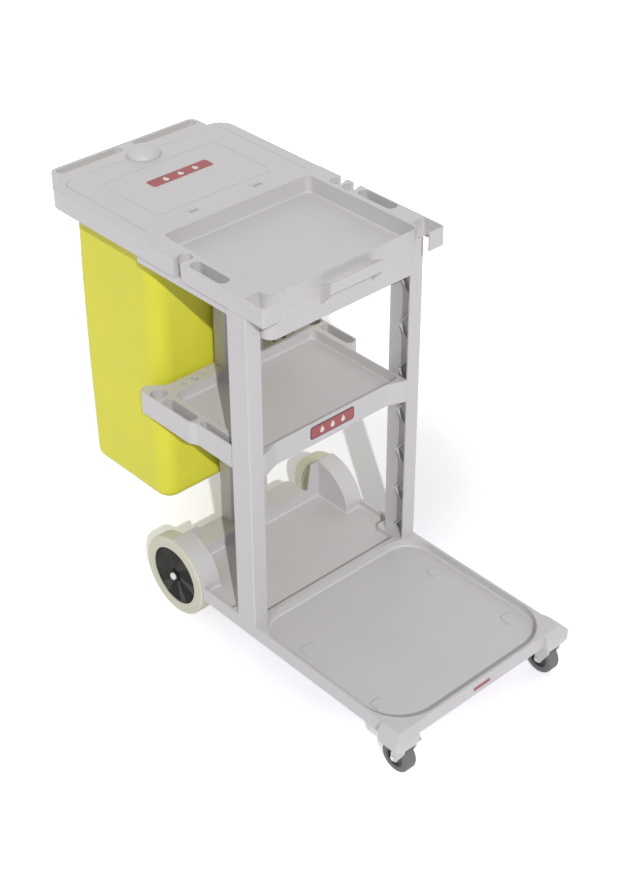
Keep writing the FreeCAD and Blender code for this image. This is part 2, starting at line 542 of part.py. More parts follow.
def make_base():
    """Base moulding: rear ledge and tray, wheel arches, front platform and caster pods."""
    body = new_body("base_deck")
    half = size("deckHalf")
    under = size("deckUnder")
    rim = size("rimTop")
    front = ahead("deckFront")
    ledge = along("ledgeFront")
    wheel_x = along("axleBack")
    wheel_z = size("wheelRadius")
    well = size("wheelRadius") + size("archGap")
    arch = well + size("archWall")
    arch_inner = size("archInner")
    arch_outer = arch_inner + size("archWall")
    deck = [(ledge, -half, 0), (front, -half, size("deckRound"))]
    pad(body, outline(mirrored(deck)), "deckUnder", "rimTop")
    ledge_points = [(along("columnBack"), -size("ledgeHalf"), size("ledgeRound"))]
    ledge_points += [(ledge, -size("ledgeHalf"), 0)]
    pad(body, outline(mirrored(ledge_points)), "deckUnder", "ledgeTop")

    # wheel arches, each with an inner wall and a fin that joins the ledge
    crown = wheel_z + arch
    for name, side in SIDES:
        centre = Vector(wheel_x, wheel_z, 0)
        bow = Part.ArcOfCircle(Part.Circle(centre, Vector(0, 0, 1), arch), 0, pi / 2)
        top = Vector(wheel_x, crown, 0)
        foot = Vector(wheel_x, under, 0)
        toe = Vector(wheel_x + arch, under, 0)
        fender = [bow, Part.LineSegment(top, foot), Part.LineSegment(foot, toe)]
        fender += [Part.LineSegment(toe, Vector(wheel_x + arch, wheel_z, 0))]
        levels = across(side, "archInner", "deckHalf")
        pad(body, fender, levels[0], levels[1], "XZ_Plane")
        fin = [(side * size("ledgeHalf"), under, 0), (side * arch_outer, under, 0)]
        fin += [(side * arch_outer, crown, 0), (side * size("finTop"), crown, size("finRound"))]
        fin += [(side * size("finFoot"), size("ledgeTop"), 0)]
        fin += [(side * size("ledgeHalf"), size("ledgeTop"), 0)]
        pad(body, outline(fin), "postFront - axleBack", "postFront - axleBack + archWall",
            "YZ_Plane")
        levels = across(side, "archInner + archWall", "deckHalf + archWall")
        pocket(body, ring_outline(wheel_x, wheel_z, well), levels[0], levels[1], "XZ_Plane")

    # caster pods grow out of the front corners and slope up to the rim
    shoulder = size("podShoulder")
    for name, side in SIDES:
        pod = box_outline(ahead("podBack"), ahead("podFront"), side * size("podInner"),
                          side * size("podOuter"), size("podRound"))
        pad(body, pod, "deckUnder", "rimTop")
        ramp = [(side * half, rim, 0), (side * size("podOuter"), shoulder, 0)]
        ramp += [(side * (size("podOuter") + 1), shoulder, 0)]
        ramp += [(side * (size("podOuter") + 1), rim, 0)]
        pocket(body, outline(ramp), "postFront + podBack - 1", "postFront + podFront + 1",
               "YZ_Plane")
        nose = [(front, rim, 0), (ahead("podFront"), shoulder, 0)]
        nose += [(ahead("podFront") + 1, shoulder, 0), (ahead("podFront") + 1, rim, 0)]
        levels = across(side, "podInner - 1", "podOuter + 1")
        pocket(body, outline(nose), levels[0], levels[1], "XZ_Plane")

    # rear tray, with a land left under each post
    inner_rim = half - size("rimWidth")
    land = wheel_x + sqrt(arch ** 2 - (rim - wheel_z) ** 2)
    tray = [(ledge, -arch_inner, 0), (land, -arch_inner, 0), (land, -inner_rim, 0)]
    bend = size("landRound")
    tray += [(along("landBack"), -inner_rim, 0), (along("landBack"), -size("landInner"), bend)]
    tray += [(along("ridgeBack"), -size("landInner"), bend)]
    pocket(body, outline(mirrored(tray)), "rearFloor", "rimTop")

    # front platform with square pads
    rear_round = size("platformRearRound")
    platform = [(along("ridgeFront"), -inner_rim, rear_round)]
    platform += [(front - size("rimWidth"), -inner_rim, size("platformFrontRound"))]
    pocket(body, outline(mirrored(platform)), "platformFloor", "rimTop")
    for distance, spread in (("padRear", "padRearHalf"), ("padFront", "padFrontHalf")):
        for name, side in SIDES:
            x = ahead(distance)
            y = side * size(spread)
            reach = size("padSide") / 2
            square = box_outline(x - reach, x + reach, y - reach, y + reach, size("padRound"))
            pad(body, square, "platformFloor", "platformFloor + padRise")

    floors = (size("rearFloor"), size("platformFloor"))
    round_edges(body, "floorSoft", lambda edge: at_height(edge, floors[0]))
    round_edges(body, "floorSoft", lambda edge: at_height(edge, floors[1])
                and edge.Length > size("padSide"))

    # hollow underside, with a rib along the middle
    wall = size("floorWall")
    for name, side in SIDES:
        rib = side * wall / 2
        rear = [(ledge + wall, rib, 0), (ledge + wall, side * (arch_inner - wall), 0)]
        rear += [(along("ridgeBack") - wall, side * (arch_inner - wall), 0)]
        rear += [(along("ridgeBack") - wall, rib, 0)]
        pocket(body, outline(rear), "deckUnder", "rearFloor - floorWall")
        edge = side * (inner_rim - wall)
        plate = [(along("ridgeFront") + wall, rib, 0)]
        plate += [(along("ridgeFront") + wall, edge, rear_round - wall)]
        plate += [(front - size("rimWidth") - wall, edge, size("platformFrontRound") - wall)]
        plate += [(front - size("rimWidth") - wall, rib, 0)]
        pocket(body, outline(plate), "deckUnder", "platformFloor - floorWall")
        bay = box_outline(along("columnBack") + wall, ledge - wall, rib,
                          side * (size("ledgeHalf") - wall), 0)
        pocket(body, bay, "deckUnder", "ledgeTop - floorWall")

    # axle bore through the ledge, its middle rib, the fins and the arch walls
    bore = size("axleRadius") + size("running")
    pocket(body, ring_outline(wheel_x, wheel_z, bore), "-(archInner + archWall)",
           "archInner + archWall", "XZ_Plane")
    return body


def make_axle():
    """Rear axle, the short spacers that hold the wheels out, and the end caps."""
    wheel_x = along("axleBack")
    wheel_z = size("wheelRadius")
    pieces = [cylinder_across("rear_axle", "axleRadius", "-wheelOuter", "wheelOuter",
                              "postFront - axleBack", "wheelRadius")]
    tube = size("axleRadius") + size("running")
    for name, side in SIDES:
        spacer = new_body(name + "_axle_spacer")
        levels = across(side, "archInner + archWall", "wheelOuter - wheelWidth - airGap")
        pad(spacer, ring_outline(wheel_x, wheel_z, tube + size("spacerWall")), levels[0],
            levels[1], "XZ_Plane")
        pocket(spacer, ring_outline(wheel_x, wheel_z, tube), levels[0], levels[1], "XZ_Plane")
        cap = new_body(name + "_axle_cap")
        levels = across(side, "wheelOuter", "wheelOuter + axleCapLength")
        pad(cap, ring_outline(wheel_x, wheel_z, size("axleCapRadius")), levels[0], levels[1],
            "XZ_Plane")
        far = side * (size("wheelOuter") + size("axleCapLength"))
        bevel_edges(cap, "axleCapLength / 3", lambda edge: abs(edge.CenterOfMass.y - far) < 1e-3)
        pieces += [spacer, cap]
    return pieces


def make_rear_wheel(name, side):
    """Rear wheel: a bladed hub and the tyre around it."""
    outer = size("wheelOuter") - size("airGap")
    inner = size("wheelOuter") - size("wheelWidth")
    seat = ("postFront - axleBack", "0", "wheelRadius")
    hub = new_body(name + "_rear_hub")
    bore = size("axleRadius") + size("running")
    boss = size("hubBoss")
    rim = size("hubRadius")
    wall = size("hubRim")
    inset = size("hubInset")
    dish = outer - inset - size("hubDish")
    profile = [(bore, side * inner, 0), (boss, side * inner, 0)]
    profile += [(boss, side * (dish - size("hubWeb")), 0)]
    profile += [(rim - wall, side * (dish - size("hubWeb")), 0)]
    profile += [(rim - wall, side * (inner + inset), 0), (rim, side * (inner + inset), 0)]
    profile += [(rim, side * (outer - inset), 0), (rim - wall, side * (outer - inset), 0)]
    profile += [(rim - wall, side * dish, 0), (boss, side * dish, 0), (boss, side * outer, 0)]
    profile += [(bore, side * outer, 0)]
    revolve(hub, outline(profile), "XY_Plane", "V_Axis")
    # pinwheel of three-cornered blades in the dish, each from beside the boss out to the rim
    reach = rim - wall / 2
    root = boss * size("bladeRoot")
    tip = reach * size("bladeSweep")
    blade = [(root, 0, 0), (sqrt(reach ** 2 - tip ** 2), tip, 0)]
    blade += [(root, sqrt(reach ** 2 - root ** 2), 0)]
    face = "wheelOuter - airGap - hubInset"
    levels = across(side, face + " - hubDish - hubWeb / 2", face)
    first = pad(hub, outline(blade), levels[0], levels[1], "XZ_Plane")
    pattern = hub.newObject("PartDesign::PolarPattern", "blades")
    pattern.Originals = [first]
    pattern.Axis = (first.Profile[0], ["N_Axis"])
    pattern.Angle = 360
    pattern.setExpression("Occurrences", formula("hubBlades"))
    hub.Tip = pattern
    doc.recompute()
    place(hub, *seat)

    tyre = new_body(name + "_rear_tyre")
    bend = size("tyreRound")
    profile = [(rim, side * inner, 0), (size("wheelRadius"), side * inner, bend)]
    profile += [(size("wheelRadius"), side * outer, bend), (rim, side * outer, 0)]
    revolve(tyre, outline(profile), "XY_Plane", "V_Axis")
    place(tyre, *seat)
    return [hub, tyre]


# ---------------------------------------------------------------- casters

def make_caster(name, side):
    """Swivel caster: plate with race and king pin, fork, axle bolt, hub and tyre."""
    axis_x = ahead("casterAxis")
    axis_y = side * size("casterHalf")
    wheel_x = axis_x - size("casterTrail")
    wheel_z = size("casterRadius")
    middle = "casterHalf" if side > 0 else "-casterHalf"
    plate_low = "deckUnder - casterPlateWall"
    race_low = plate_low + " - raceHeight"
    crown_top = race_low + " - airGap"
    crown_low = crown_top + " - forkWall"
    head_top = crown_low + " - airGap"

    mount = new_body(name + "_caster_mount")
    reach = size("casterPlate") / 2
    plate = box_outline(axis_x - reach, ahead("podFront") - 2 * size("airGap"), axis_y - reach,
                        axis_y + reach, size("raceHeight"))
    pad(mount, plate, plate_low, "deckUnder")
    pad(mount, ring_outline(axis_x, axis_y, size("raceRadius")), race_low, plate_low)
    pad(mount, ring_outline(axis_x, axis_y, size("kingPin")), head_top, race_low)
    pad(mount, ring_outline(axis_x, axis_y, size("kingPinHead")), head_top + " - kingPinCap",
        head_top)

    fork = new_body(name + "_caster_fork")
    gap = size("casterWidth") / 2 + size("forkGap")
    outer = gap + size("forkWall")
    half = size("forkHalf")
    crown = box_outline(axis_x - half, axis_x + half, axis_y - outer, axis_y + outer,
                        size("forkWall"))
    pad(fork, crown, crown_low, crown_top)
    tip = size("forkTip")
    top_z = size("deckUnder") - size("casterPlateWall") - size("raceHeight") - size("airGap")
    knee = top_z - size("forkWall") - tip
    leg = [(axis_x - half, top_z, 0), (axis_x + half, top_z, 0), (axis_x + half, knee, tip)]
    leg += [(wheel_x + tip, wheel_z - tip, tip * 0.9), (wheel_x - tip, wheel_z - tip, tip * 0.9)]
    leg += [(axis_x - half, knee, tip)]
    inside = "casterWidth / 2 + forkGap"
    for start in ("-(%s) - forkWall" % inside, inside):
        low = "%s + %s" % (middle, start)
        pad(fork, outline(leg), low, low + " + forkWall", "XZ_Plane")
    pin_bore = size("kingPin") + size("running")
    pocket(fork, ring_outline(axis_x, axis_y, pin_bore), crown_low, crown_top)
    bolt_low = "%s - (%s) - forkWall" % (middle, inside)
    bolt_high = "%s + %s + forkWall" % (middle, inside)
    bolt_ring = ring_outline(wheel_x, wheel_z, size("casterBolt"))
    pocket(fork, bolt_ring, bolt_low, bolt_high, "XZ_Plane")

    bolt = new_body(name + "_caster_bolt")
    pad(bolt, bolt_ring, bolt_low, bolt_high, "XZ_Plane")
    head = ring_outline(wheel_x, wheel_z, size("casterBoltHead"))
    pad(bolt, head, bolt_low + " - forkWall", bolt_low, "XZ_Plane")
    pad(bolt, head, bolt_high, bolt_high + " + forkWall", "XZ_Plane")

    hub = new_body(name + "_caster_hub")
    width = size("casterWidth") / 2
    step = size("forkGap") / 2
    bore = size("casterBolt") + size("running")
    boss = size("casterBoss")
    rim = size("casterHub")
    wall = size("casterHubWall")
    half_profile = [(bore, width + step, 0), (boss, width + step, 0), (boss, width - wall, 0)]
    half_profile += [(rim - wall, width - wall, 0), (rim - wall, width - step, 0)]
    half_profile += [(rim, width - step, 0)]
    lower_profile = [(x, -y, radius) for x, y, radius in reversed(half_profile)]
    revolve(hub, outline(half_profile + lower_profile), "XY_Plane", "V_Axis")
    tyre = new_body(name + "_caster_tyre")
    profile = [(rim, -width, 0), (size("casterRadius"), -width, size("forkWall") * 2)]
    profile += [(size("casterRadius"), width, size("forkWall") * 2), (rim, width, 0)]
    revolve(tyre, outline(profile), "XY_Plane", "V_Axis")
    for piece in (hub, tyre):
        place(piece, "postFront + casterAxis - casterTrail", middle, "casterRadius")
    return [mount, fork, bolt, hub, tyre]


# ---------------------------------------------------------------- posts and column

def make_post(label, side, low, high, tiers):
    """Channel post, open to the inside, stiffened by a zig-zag rib."""
    body = new_body(label)
    back = along("postDepth")
    front = size("postFront")
    outer = size("postHalf")
    lip = outer - size("postWidth")
    wall = size("postWall")
    bend = size("postRound")
    section = [(back, side * lip, 0), (back, side * outer, bend), (front, side * outer, bend)]
    section += [(front, side * lip, 0), (front - wall, side * lip, 0)]
    section += [(front - wall, side * (outer - wall), 0), (back + wall, side * (outer - wall), 0)]
    section += [(back + wall, side * lip, 0)]
    pad(body, outline(section), low, high)
    bottom = size(low)
    count = int(size(tiers))
    tier = (size(high) - bottom) / count
    near = back + wall
    far = front - wall
    half = size("ribWall") / 2
    middle = bottom + tier / 2
    zigzag = [(near, bottom, 0), (near + half, bottom, 0), (far, middle - half, 0)]
    zigzag += [(far, middle + half, 0), (near + half, bottom + tier, 0), (near, bottom + tier, 0)]
    zigzag += [(near, bottom + tier - 2 * half, 0), (far - 3 * half, middle, 0)]
    zigzag += [(near, bottom + 2 * half, 0)]
    levels = across(side, "postHalf - postWall - ribDepth", "postHalf - postWall")
    rib = pad(body, outline(zigzag), levels[0], levels[1], "XZ_Plane")
    # a pointed gusset stands where each zig-zag meets the front flange
    reach = size("gussetReach")
    thorn = [(far, middle - reach, 0), (far, middle + reach, 0)]
    thorn += [(far - size("gussetDepth"), middle, 0)]
    levels = across(side, "postHalf - postWidth + gussetInset", "postHalf - postWall")
    gusset = pad(body, outline(thorn), levels[0], levels[1], "XZ_Plane")
    pattern = body.newObject("PartDesign::LinearPattern", label + "_zigzag")
    pattern.Originals = [rib, gusset]
    pattern.Direction = (rib.Profile[0], ["V_Axis"])
    step = "(%s - %s) / %s" % (high, low, tiers)
    pattern.setExpression("Length", formula("%s * (%s - 1)" % (step, tiers)))
    pattern.setExpression("Occurrences", formula(tiers))
    body.Tip = pattern
    doc.recompute()
    return body


def make_column(label, low, high):
    """Rear column, a box section."""
    body = new_body(label)
    back = along("columnBack")
    front = back + size("columnDepth")
    half = size("columnWidth") / 2
    wall = size("columnWall")
    pad(body, box_outline(back, front, -half, half, size("columnRound")), low, high)
    bore = box_outline(back + wall, front - wall, -half + wall, half - wall)
    pocket(body, bore, low, high)
    return body


# ---------------------------------------------------------------- middle shelf

def make_shelf():
    """Middle shelf: a tray with ears, side pockets, tool holes and a curved front apron."""
    body = new_body("middle_shelf")
    half = size("shelfHalf")
    waist = size("shelfWaist")
    inner = size("shelfInner")
    wall = size("shelfWall")
    front = size("postFront")
    post_back = along("postDepth")
    lip = size("postHalf") - size("postWidth")
    rear = along("columnBack")
    apron = along("apronBack")
    bend = size("apronRound")
    ear = size("earRound")

    def half_outline(side, side_wall):
        """Half of the plan, from the rear to the apron."""
        points = [(rear, side * (size("earInner") - size("earSlope")), ear)]
        points += [(along("earBack"), side * size("earInner"), ear)]
        points += [(along("earBack"), side * half, ear)]
        points += [(along("shelfStepBack"), side * half, ear)]
        points += [(along("shelfStepFront"), side * side_wall, ear)]
        points += [(post_back, side * side_wall, 0), (post_back, side * lip, 0)]
        points += [(front, side * lip, 0), (front, side * (lip - wall), bend)]
        points += [(apron, side * (lip - wall - size("apronRun")), bend)]
        return points

    right = half_outline(-1, waist)
    left = half_outline(1, inner + wall)
    pad(body, outline(right + left[::-1]), "shelfUnder", "shelfTop")

    # recess that follows the apron at the front
    recess = [(along("shelfRimFront"), -inner, size("shelfRound"))]
    recess += [(apron - wall, -inner, size("shelfRound"))]
    pocket(body, outline(mirrored(recess)), "shelfFloor", "shelfTop")

    # pockets and holders along the sides
    for name, side in SIDES:
        y0, y1 = sorted((side * size("pocketInner"), side * (half - wall)))
        long_pocket = box_outline(along("pocketBack"), along("pocketFront") - wall, y0, y1,
                                  size("pocketRound"))
        pocket(body, long_pocket, "shelfUnder + shelfWall", "shelfTop")
        holder = ring_outline(along("earHoleBack"), side * size("earHoleHalf"), size("earHole"))
        pocket(body, holder, "shelfUnder", "shelfTop")
        for step in (-1, 0, 1):
            radius = size("toolHole") if step else size("toolHoleWide")
            y = side * size("toolHoleHalf") + step * size("toolHolePitch")
            hole = ring_outline(along("toolHoleBack"), y, radius)
            pocket(body, hole, "shelfUnder", "shelfTop")
    small = box_outline(along("smallPocketBack"), along("smallPocketFront"), -waist + wall,
                        -size("pocketInner"), size("smallPocketRound"))
    pocket(body, small, "shelfUnder + shelfWall", "shelfTop")

    # hollow underside between ribs
    for name, side in SIDES:
        y0, y1 = sorted((side * wall / 2, side * (inner - wall)))
        hollow = box_outline(along("shelfRimFront") + wall, apron - 2 * wall, y0, y1, wall)
        pocket(body, hollow, "shelfUnder", "shelfFloor - shelfWall")
    floor = size("shelfFloor")
    round_edges(body, "shelfWall", lambda edge: at_height(edge, floor))
    return body


# ---------------------------------------------------------------- head frame, tray and panel

def make_head_frame():
    """Flanged ring that ties posts and column together under the top."""
    body = new_body("head_frame")
    wall = size("headWall")
    rear = along("headBack")
    half = size("headHalf")
    post_back = along("postDepth")
    front = size("postFront")
    lip = size("postHalf") - size("postWidth")

    def ring(inset, rear_inset):
        """Outline of the frame, drawn in by a wall or a flange."""
        points = [(rear + rear_inset, -half + inset, 0), (post_back - inset, -half + inset, 0)]
        points += [(post_back - inset, -lip + inset, 0), (front - inset, -lip + inset, 0)]
        return outline(mirrored(points))

    pad(body, ring(0, 0), "headUnder", "headTop")
    pocket(body, ring(wall, wall), "headUnder", "headTop - headWall")
    pocket(body, ring(size("headSide"), size("headFlange")), "headTop - headWall", "headTop")
    passage = half - wall - size("notchHalf")
    for side, step in NOTCHES:
        x = along("notchFirst") - step * size("notchPitch")
        hole = ring_outline(x, side * size("notchHalf"), passage)
        pocket(body, hole, "headTop - headWall", "headTop")
    return body


def make_tray():
    """Top tray with side pockets, handle notches and open corner hooks."""
    body = new_body("top_tray")
    half = size("topHalf")
    wall = size("trayWall")
    seam = along("seamBack")
    hook = ahead("hookFront")
    hook_in = size("hookInner")
    hook_back = along("hookBack")
    front = ahead("trayFront")
    panel = size("panelHalf")
    bend = size("hookRound")
    plan = [(seam, -half, 0), (hook, -half, bend), (hook, -hook_in, 0), (hook - wall, -hook_in, 0)]
    plan += [(hook - wall, -half + wall, bend - wall), (hook_back, -half + wall, bend)]
    plan += [(hook_back, -panel, 0), (front, -panel, size("panelRound"))]
    pad(body, outline(mirrored(plan)), "headTop", "topLevel")
    recess = box_outline(along("trayBack"), front - wall, -size("trayHalf"), size("trayHalf"),
                         size("trayRound"))
    pocket(body, recess, "trayFloor", "topLevel")
    for name, side in SIDES:
        y0, y1 = sorted((side * size("sidePocketInner"), side * (half - wall)))
        tub = box_outline(along("sidePocketBack"), along("sidePocketFront"), y0, y1,
                          size("sidePocketRound"))
        pocket(body, tub, "sidePocketFloor", "topLevel")
    for side, step in NOTCHES:
        x = along("notchFirst") - step * size("notchPitch")
        y = side * size("notchHalf")
        pocket(body, ring_outline(x, y, size("notchRadius")), "headTop", "topLevel")
        y0, y1 = sorted((y, side * half))
        throat = size("notchThroat") / 2
        slot = box_outline(x - throat, x + throat, y0, y1)
        pocket(body, slot, "headTop", "topLevel")
    floor = size("trayFloor")
    round_edges(body, "trayWall", lambda edge: at_height(edge, floor))
    return body


def make_panel():
    """Front panel under the tray, between the posts."""
    body = new_body("front_panel")
    front = ahead("trayFront")
    panel = size("panelHalf")
    wall = size("trayWall")
    back = size("postFront")
    bend = size("panelRound")
    plan = [(back, -panel, 0), (front, -panel, bend)]
    inside = [(back, -panel + wall, 0), (front - wall, -panel + wall, bend - wall)]
    pad(body, outline(mirrored(plan)), "panelUnder", "headTop")
    pocket(body, outline(mirrored(inside)), "panelUnder", "headTop")
    return body


def make_pull():
    """Front pull: a lip held ahead of the tray by two cheeks."""
    body = new_body("front_pull")
    root = ahead("trayFront")
    reach = root + size("pullReach")
    wall = size("pullWall")
    half = size("pullHalf")
    pad(body, box_outline(reach - wall, reach, -half, half), "pullLow", "pullHigh")
    cheek = [(root, size("pullFoot"), 0), (reach, size("pullLow"), 0), (reach, size("pullHigh"), 0)]
    cheek += [(reach - wall, size("pullHigh"), 0), (root, size("pullHead"), 0)]
    for low in ("-pullHalf", "pullHalf - pullWall"):
        pad(body, outline(cheek), low, low + " + pullWall", "XZ_Plane")
    return body


# ---------------------------------------------------------------- hood, lid and bag

def bag_loop(inset):
    """Plan of the bag, drawn in by an inset."""
    return box_outline(along("bagBack") + inset, along("bagFront") - inset,
                       -size("bagHalf") + inset, size("bagHalf") - inset,
                       size("bagRound") - inset)


def make_hood():
    """Hood at the rear: handle rail with two slots, lid seat and hinge knuckles."""
    body = new_body("bag_hood")
    top = size("topLevel")
    half = size("topHalf")
    wall = size("hoodWall")
    seam = along("seamBack")
    rear = along("hoodBack")
    bar = along("barBack")
    plan = [(along("railBack"), -size("railHalf"), size("railRound"))]
    plan += [(rear, -size("railHalf"), 0), (rear, -half, size("hoodRound")), (seam, -half, 0)]
    pad(body, outline(mirrored(plan)), "headTop", "topLevel")
    cavity = [(rear + wall, -half + wall, size("hoodRound") - wall), (bar, -half + wall, wall)]
    pocket(body, outline(mirrored(cavity)), "headTop", "topLevel - hoodPlate")
    for name, side in SIDES:
        y0, y1 = sorted((side * size("slotInner"), side * size("slotOuter")))
        slot = box_outline(along("slotBack"), along("slotFront"), y0, y1, size("slotRound"))
        pocket(body, slot, "headTop", "topLevel")
    gap = size("lidGap")
    barrel = along("barrelBack") + size("barrelRadius") + gap
    lid_half = size("lidHalf") + gap
    seat = [(along("lidBack") - gap, -lid_half, size("lidRound") + gap), (barrel, -lid_half, 0)]
    seat_level = "topLevel - lidWall - lidRest"
    pocket(body, outline(mirrored(seat)), seat_level, "topLevel")
    mouth = bag_loop(size("bagWall") + size("airGap") + size("collarWall"))
    pocket(body, mouth, "topLevel - hoodPlate", seat_level)
    trough = box_outline(along("barrelBack") - size("barrelRadius") - gap, barrel, -lid_half,
                         lid_half)
    pocket(body, trough, "topLevel - 2 * barrelRadius - lidGap", seat_level)
    # knuckles reach back from the front bar to the hinge axis
    x = along("barrelBack")
    z = top - size("barrelRadius")
    lug = size("barrelRadius") - gap
    tongue = [(x - lug, z - lug, lug * 0.95), (barrel, z - lug, 0)]
    tongue += [(barrel, z + lug, 0), (x - lug, z + lug, lug * 0.95)]
    for centre in ("-knuckleHalf", "knuckleHalf"):
        low = centre + " - knuckleWidth / 2"
        high = centre + " + knuckleWidth / 2"
        pad(body, outline(tongue), low, high, "XZ_Plane")
        pocket(body, ring_outline(x, z, size("hingePin")), low, high, "XZ_Plane")
    # soft outer edges, apart from the seam, the slots and the lid's seat
    slot_reach = size("slotOuter")
    slot_end = along("slotFront")
    seat_end = along("lidBack") - gap
    round_edges(body, "edgeSoft", lambda edge: at_height(edge, top) and not lies_at(edge, seam)
                and not within(edge, along("slotBack"), slot_end, slot_reach)
                and not within(edge, seat_end, seam - 1e-3, lid_half))
    return body


def make_lid():
    """Lid with a hinge barrel along its front edge and a finger dome at the rear."""
    body = new_body("lid")
    x = along("barrelBack")
    z = size("topLevel") - size("barrelRadius")
    half = size("lidHalf")
    plate = [(along("lidBack"), -half, size("lidRound")), (x, -half, 0)]
    pad(body, outline(mirrored(plate)), "topLevel - lidWall", "topLevel")
    pad(body, ring_outline(x, z, size("barrelRadius")), "-lidHalf", "lidHalf", "XZ_Plane")
    side_gap = size("knuckleWidth") / 2 + size("lidGap")
    reach = size("barrelRadius") + 2 * size("lidGap")
    for name, side in SIDES:
        centre = side * size("knuckleHalf")
        cut = box_outline(x - reach, x + reach, centre - side_gap, centre + side_gap)
        pocket(body, cut, "topLevel - 2 * barrelRadius", "topLevel")
    for centre in ("-knuckleHalf", "knuckleHalf"):
        low = centre + " - hingePinLength / 2 - airGap"
        high = centre + " + hingePinLength / 2 + airGap"
        pocket(body, ring_outline(x, z, size("hingePin") + size("running")), low, high,
               "XZ_Plane")
    dome = body.newObject("PartDesign::AdditiveEllipsoid", "finger_dome")
    dome.AttachmentSupport = [(origin_plane(body, "XY_Plane"), "")]
    dome.MapMode = "FlatFace"
    dome.Angle1 = 0
    dome.Angle2 = 90
    for name, text in (("Radius1", "domeHigh"), ("Radius2", "domeLong"), ("Radius3", "domeWide")):
        dome.setExpression(name, formula(text))
    dome.setExpression("AttachmentOffset.Base.x", formula("postFront - domeBack"))
    dome.setExpression("AttachmentOffset.Base.z", formula("topLevel + airGap"))
    reach = size("domeFoot")
    foot = box_outline(along("lidBack"), along("domeBack") + reach, -reach, reach)
    pad(body, foot, "topLevel - lidWall / 2", "topLevel + 3 * airGap")
    # faint raised frame around the middle of the lid
    rear = along("lidBack") + size("frameBack")
    front = x - size("frameFront")
    spread = size("frameHalf")
    line = size("frameLine")
    bend = size("frameRound")
    outer = box_outline(rear, front, -spread, spread, bend)
    inner = box_outline(rear + line, front - line, -spread + line, spread - line, bend - line)
    pad(body, outer + inner, "topLevel", "topLevel + frameRise")
    return body


def make_bag_pieces():
    """Hinge pins, the collar under the hood and the bag that hangs around it."""
    pieces = []
    for name, side in SIDES:
        centre = "knuckleHalf" if side > 0 else "-knuckleHalf"
        pieces.append(cylinder_across(name + "_hinge_pin", "hingePin",
                                      centre + " - hingePinLength / 2",
                                      centre + " + hingePinLength / 2",
                                      "postFront - barrelBack", "topLevel - barrelRadius"))
    collar = new_body("bag_collar")
    outer = size("bagWall") + size("airGap")
    pad(collar, bag_loop(outer), "collarUnder", "topLevel - hoodPlate")
    pocket(collar, bag_loop(outer + size("collarWall")), "collarUnder", "topLevel - hoodPlate")
    bag = new_body("bag")
    pad(bag, bag_loop(0), "bagUnder", "bagTop")
    pocket(bag, bag_loop(size("bagWall")), "bagUnder + bagWall", "bagTop")
    return pieces + [collar, bag]


# ---------------------------------------------------------------- build and write

PIECES.append(make_base())
PIECES += make_axle()
for name, side in SIDES:
    PIECES += make_rear_wheel(name, side)
    PIECES += make_caster("front_" + name, side)
    PIECES.append(make_post(name + "_lower_post", side, "rimTop", "postSeam", "ribTiersLow"))
    PIECES.append(make_post(name + "_upper_post", side, "postSeam", "headTop", "ribTiersHigh"))
PIECES.append(make_column("lower_column", "ledgeTop", "shelfUnder"))
PIECES.append(make_column("upper_column", "shelfTop", "headTop - headWall"))
PIECES.append(make_shelf())
PIECES.append(make_head_frame())
PIECES.append(make_tray())
PIECES.append(make_panel())
PIECES.append(make_pull())
PIECES.append(make_hood())
PIECES.append(make_lid())
PIECES += make_bag_pieces()

doc.recompute()
for item in doc.Objects:
    if "Invalid" in item.State or "Error" in item.State:
        raise RuntimeError("%s did not build: %s" % (item.Label, item.State))
for piece in PIECES:
    if piece.Shape.isNull() or not piece.Shape.isValid():
        raise RuntimeError("%s has no valid shape" % piece.Label)

os.makedirs("parts", exist_ok=True)
for piece in PIECES:
    piece.Shape.exportStep("parts/%s.step" % piece.Label)
    print(piece.Label, len(piece.Shape.Solids), round(piece.Shape.Volume))
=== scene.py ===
# %% [markdown]
# # A moulded housekeeping cart
# The real cart is injection-moulded plastic: a base on two large wheels and two casters,
# ribbed posts, a shelf, a tray and a hood with a lid, and a yellow coated-cloth bag. It
# could all be modelled here, but the frame already holds every rigid piece at its real
# size. So this lesson loads the frame, dresses its pieces with finishes, and makes only
# what rigid solids can't show well: the bag, the wheels' folded faces and small trim.

# %% Load the frame
import json
import math

import bmesh
import bpy
from mathutils import Matrix, Vector, noise


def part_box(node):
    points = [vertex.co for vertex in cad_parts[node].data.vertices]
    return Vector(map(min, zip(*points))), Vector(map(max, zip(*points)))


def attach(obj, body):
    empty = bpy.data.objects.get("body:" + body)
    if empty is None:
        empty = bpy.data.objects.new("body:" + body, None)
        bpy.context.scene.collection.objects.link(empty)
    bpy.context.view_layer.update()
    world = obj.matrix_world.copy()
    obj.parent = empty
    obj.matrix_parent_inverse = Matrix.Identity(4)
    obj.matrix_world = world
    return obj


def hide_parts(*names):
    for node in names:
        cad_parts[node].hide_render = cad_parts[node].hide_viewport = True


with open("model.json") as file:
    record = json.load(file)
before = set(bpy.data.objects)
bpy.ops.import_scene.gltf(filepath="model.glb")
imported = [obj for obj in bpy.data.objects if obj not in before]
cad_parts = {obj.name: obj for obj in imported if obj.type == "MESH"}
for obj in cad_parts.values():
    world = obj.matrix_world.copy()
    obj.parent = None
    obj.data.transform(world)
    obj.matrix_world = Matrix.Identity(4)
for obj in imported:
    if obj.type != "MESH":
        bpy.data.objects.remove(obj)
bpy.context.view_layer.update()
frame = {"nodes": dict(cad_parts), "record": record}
record = frame["record"]

# %% [markdown]
# ## Where things are
# A piece that is added later has to sit on the real surfaces. Its place could be typed in,
# but then it would be wrong as soon as a size changed. The box of a node says where its
# piece lies, so places are read from there. X runs to the open platform, Y across the
# cart and Z up, all in metres.

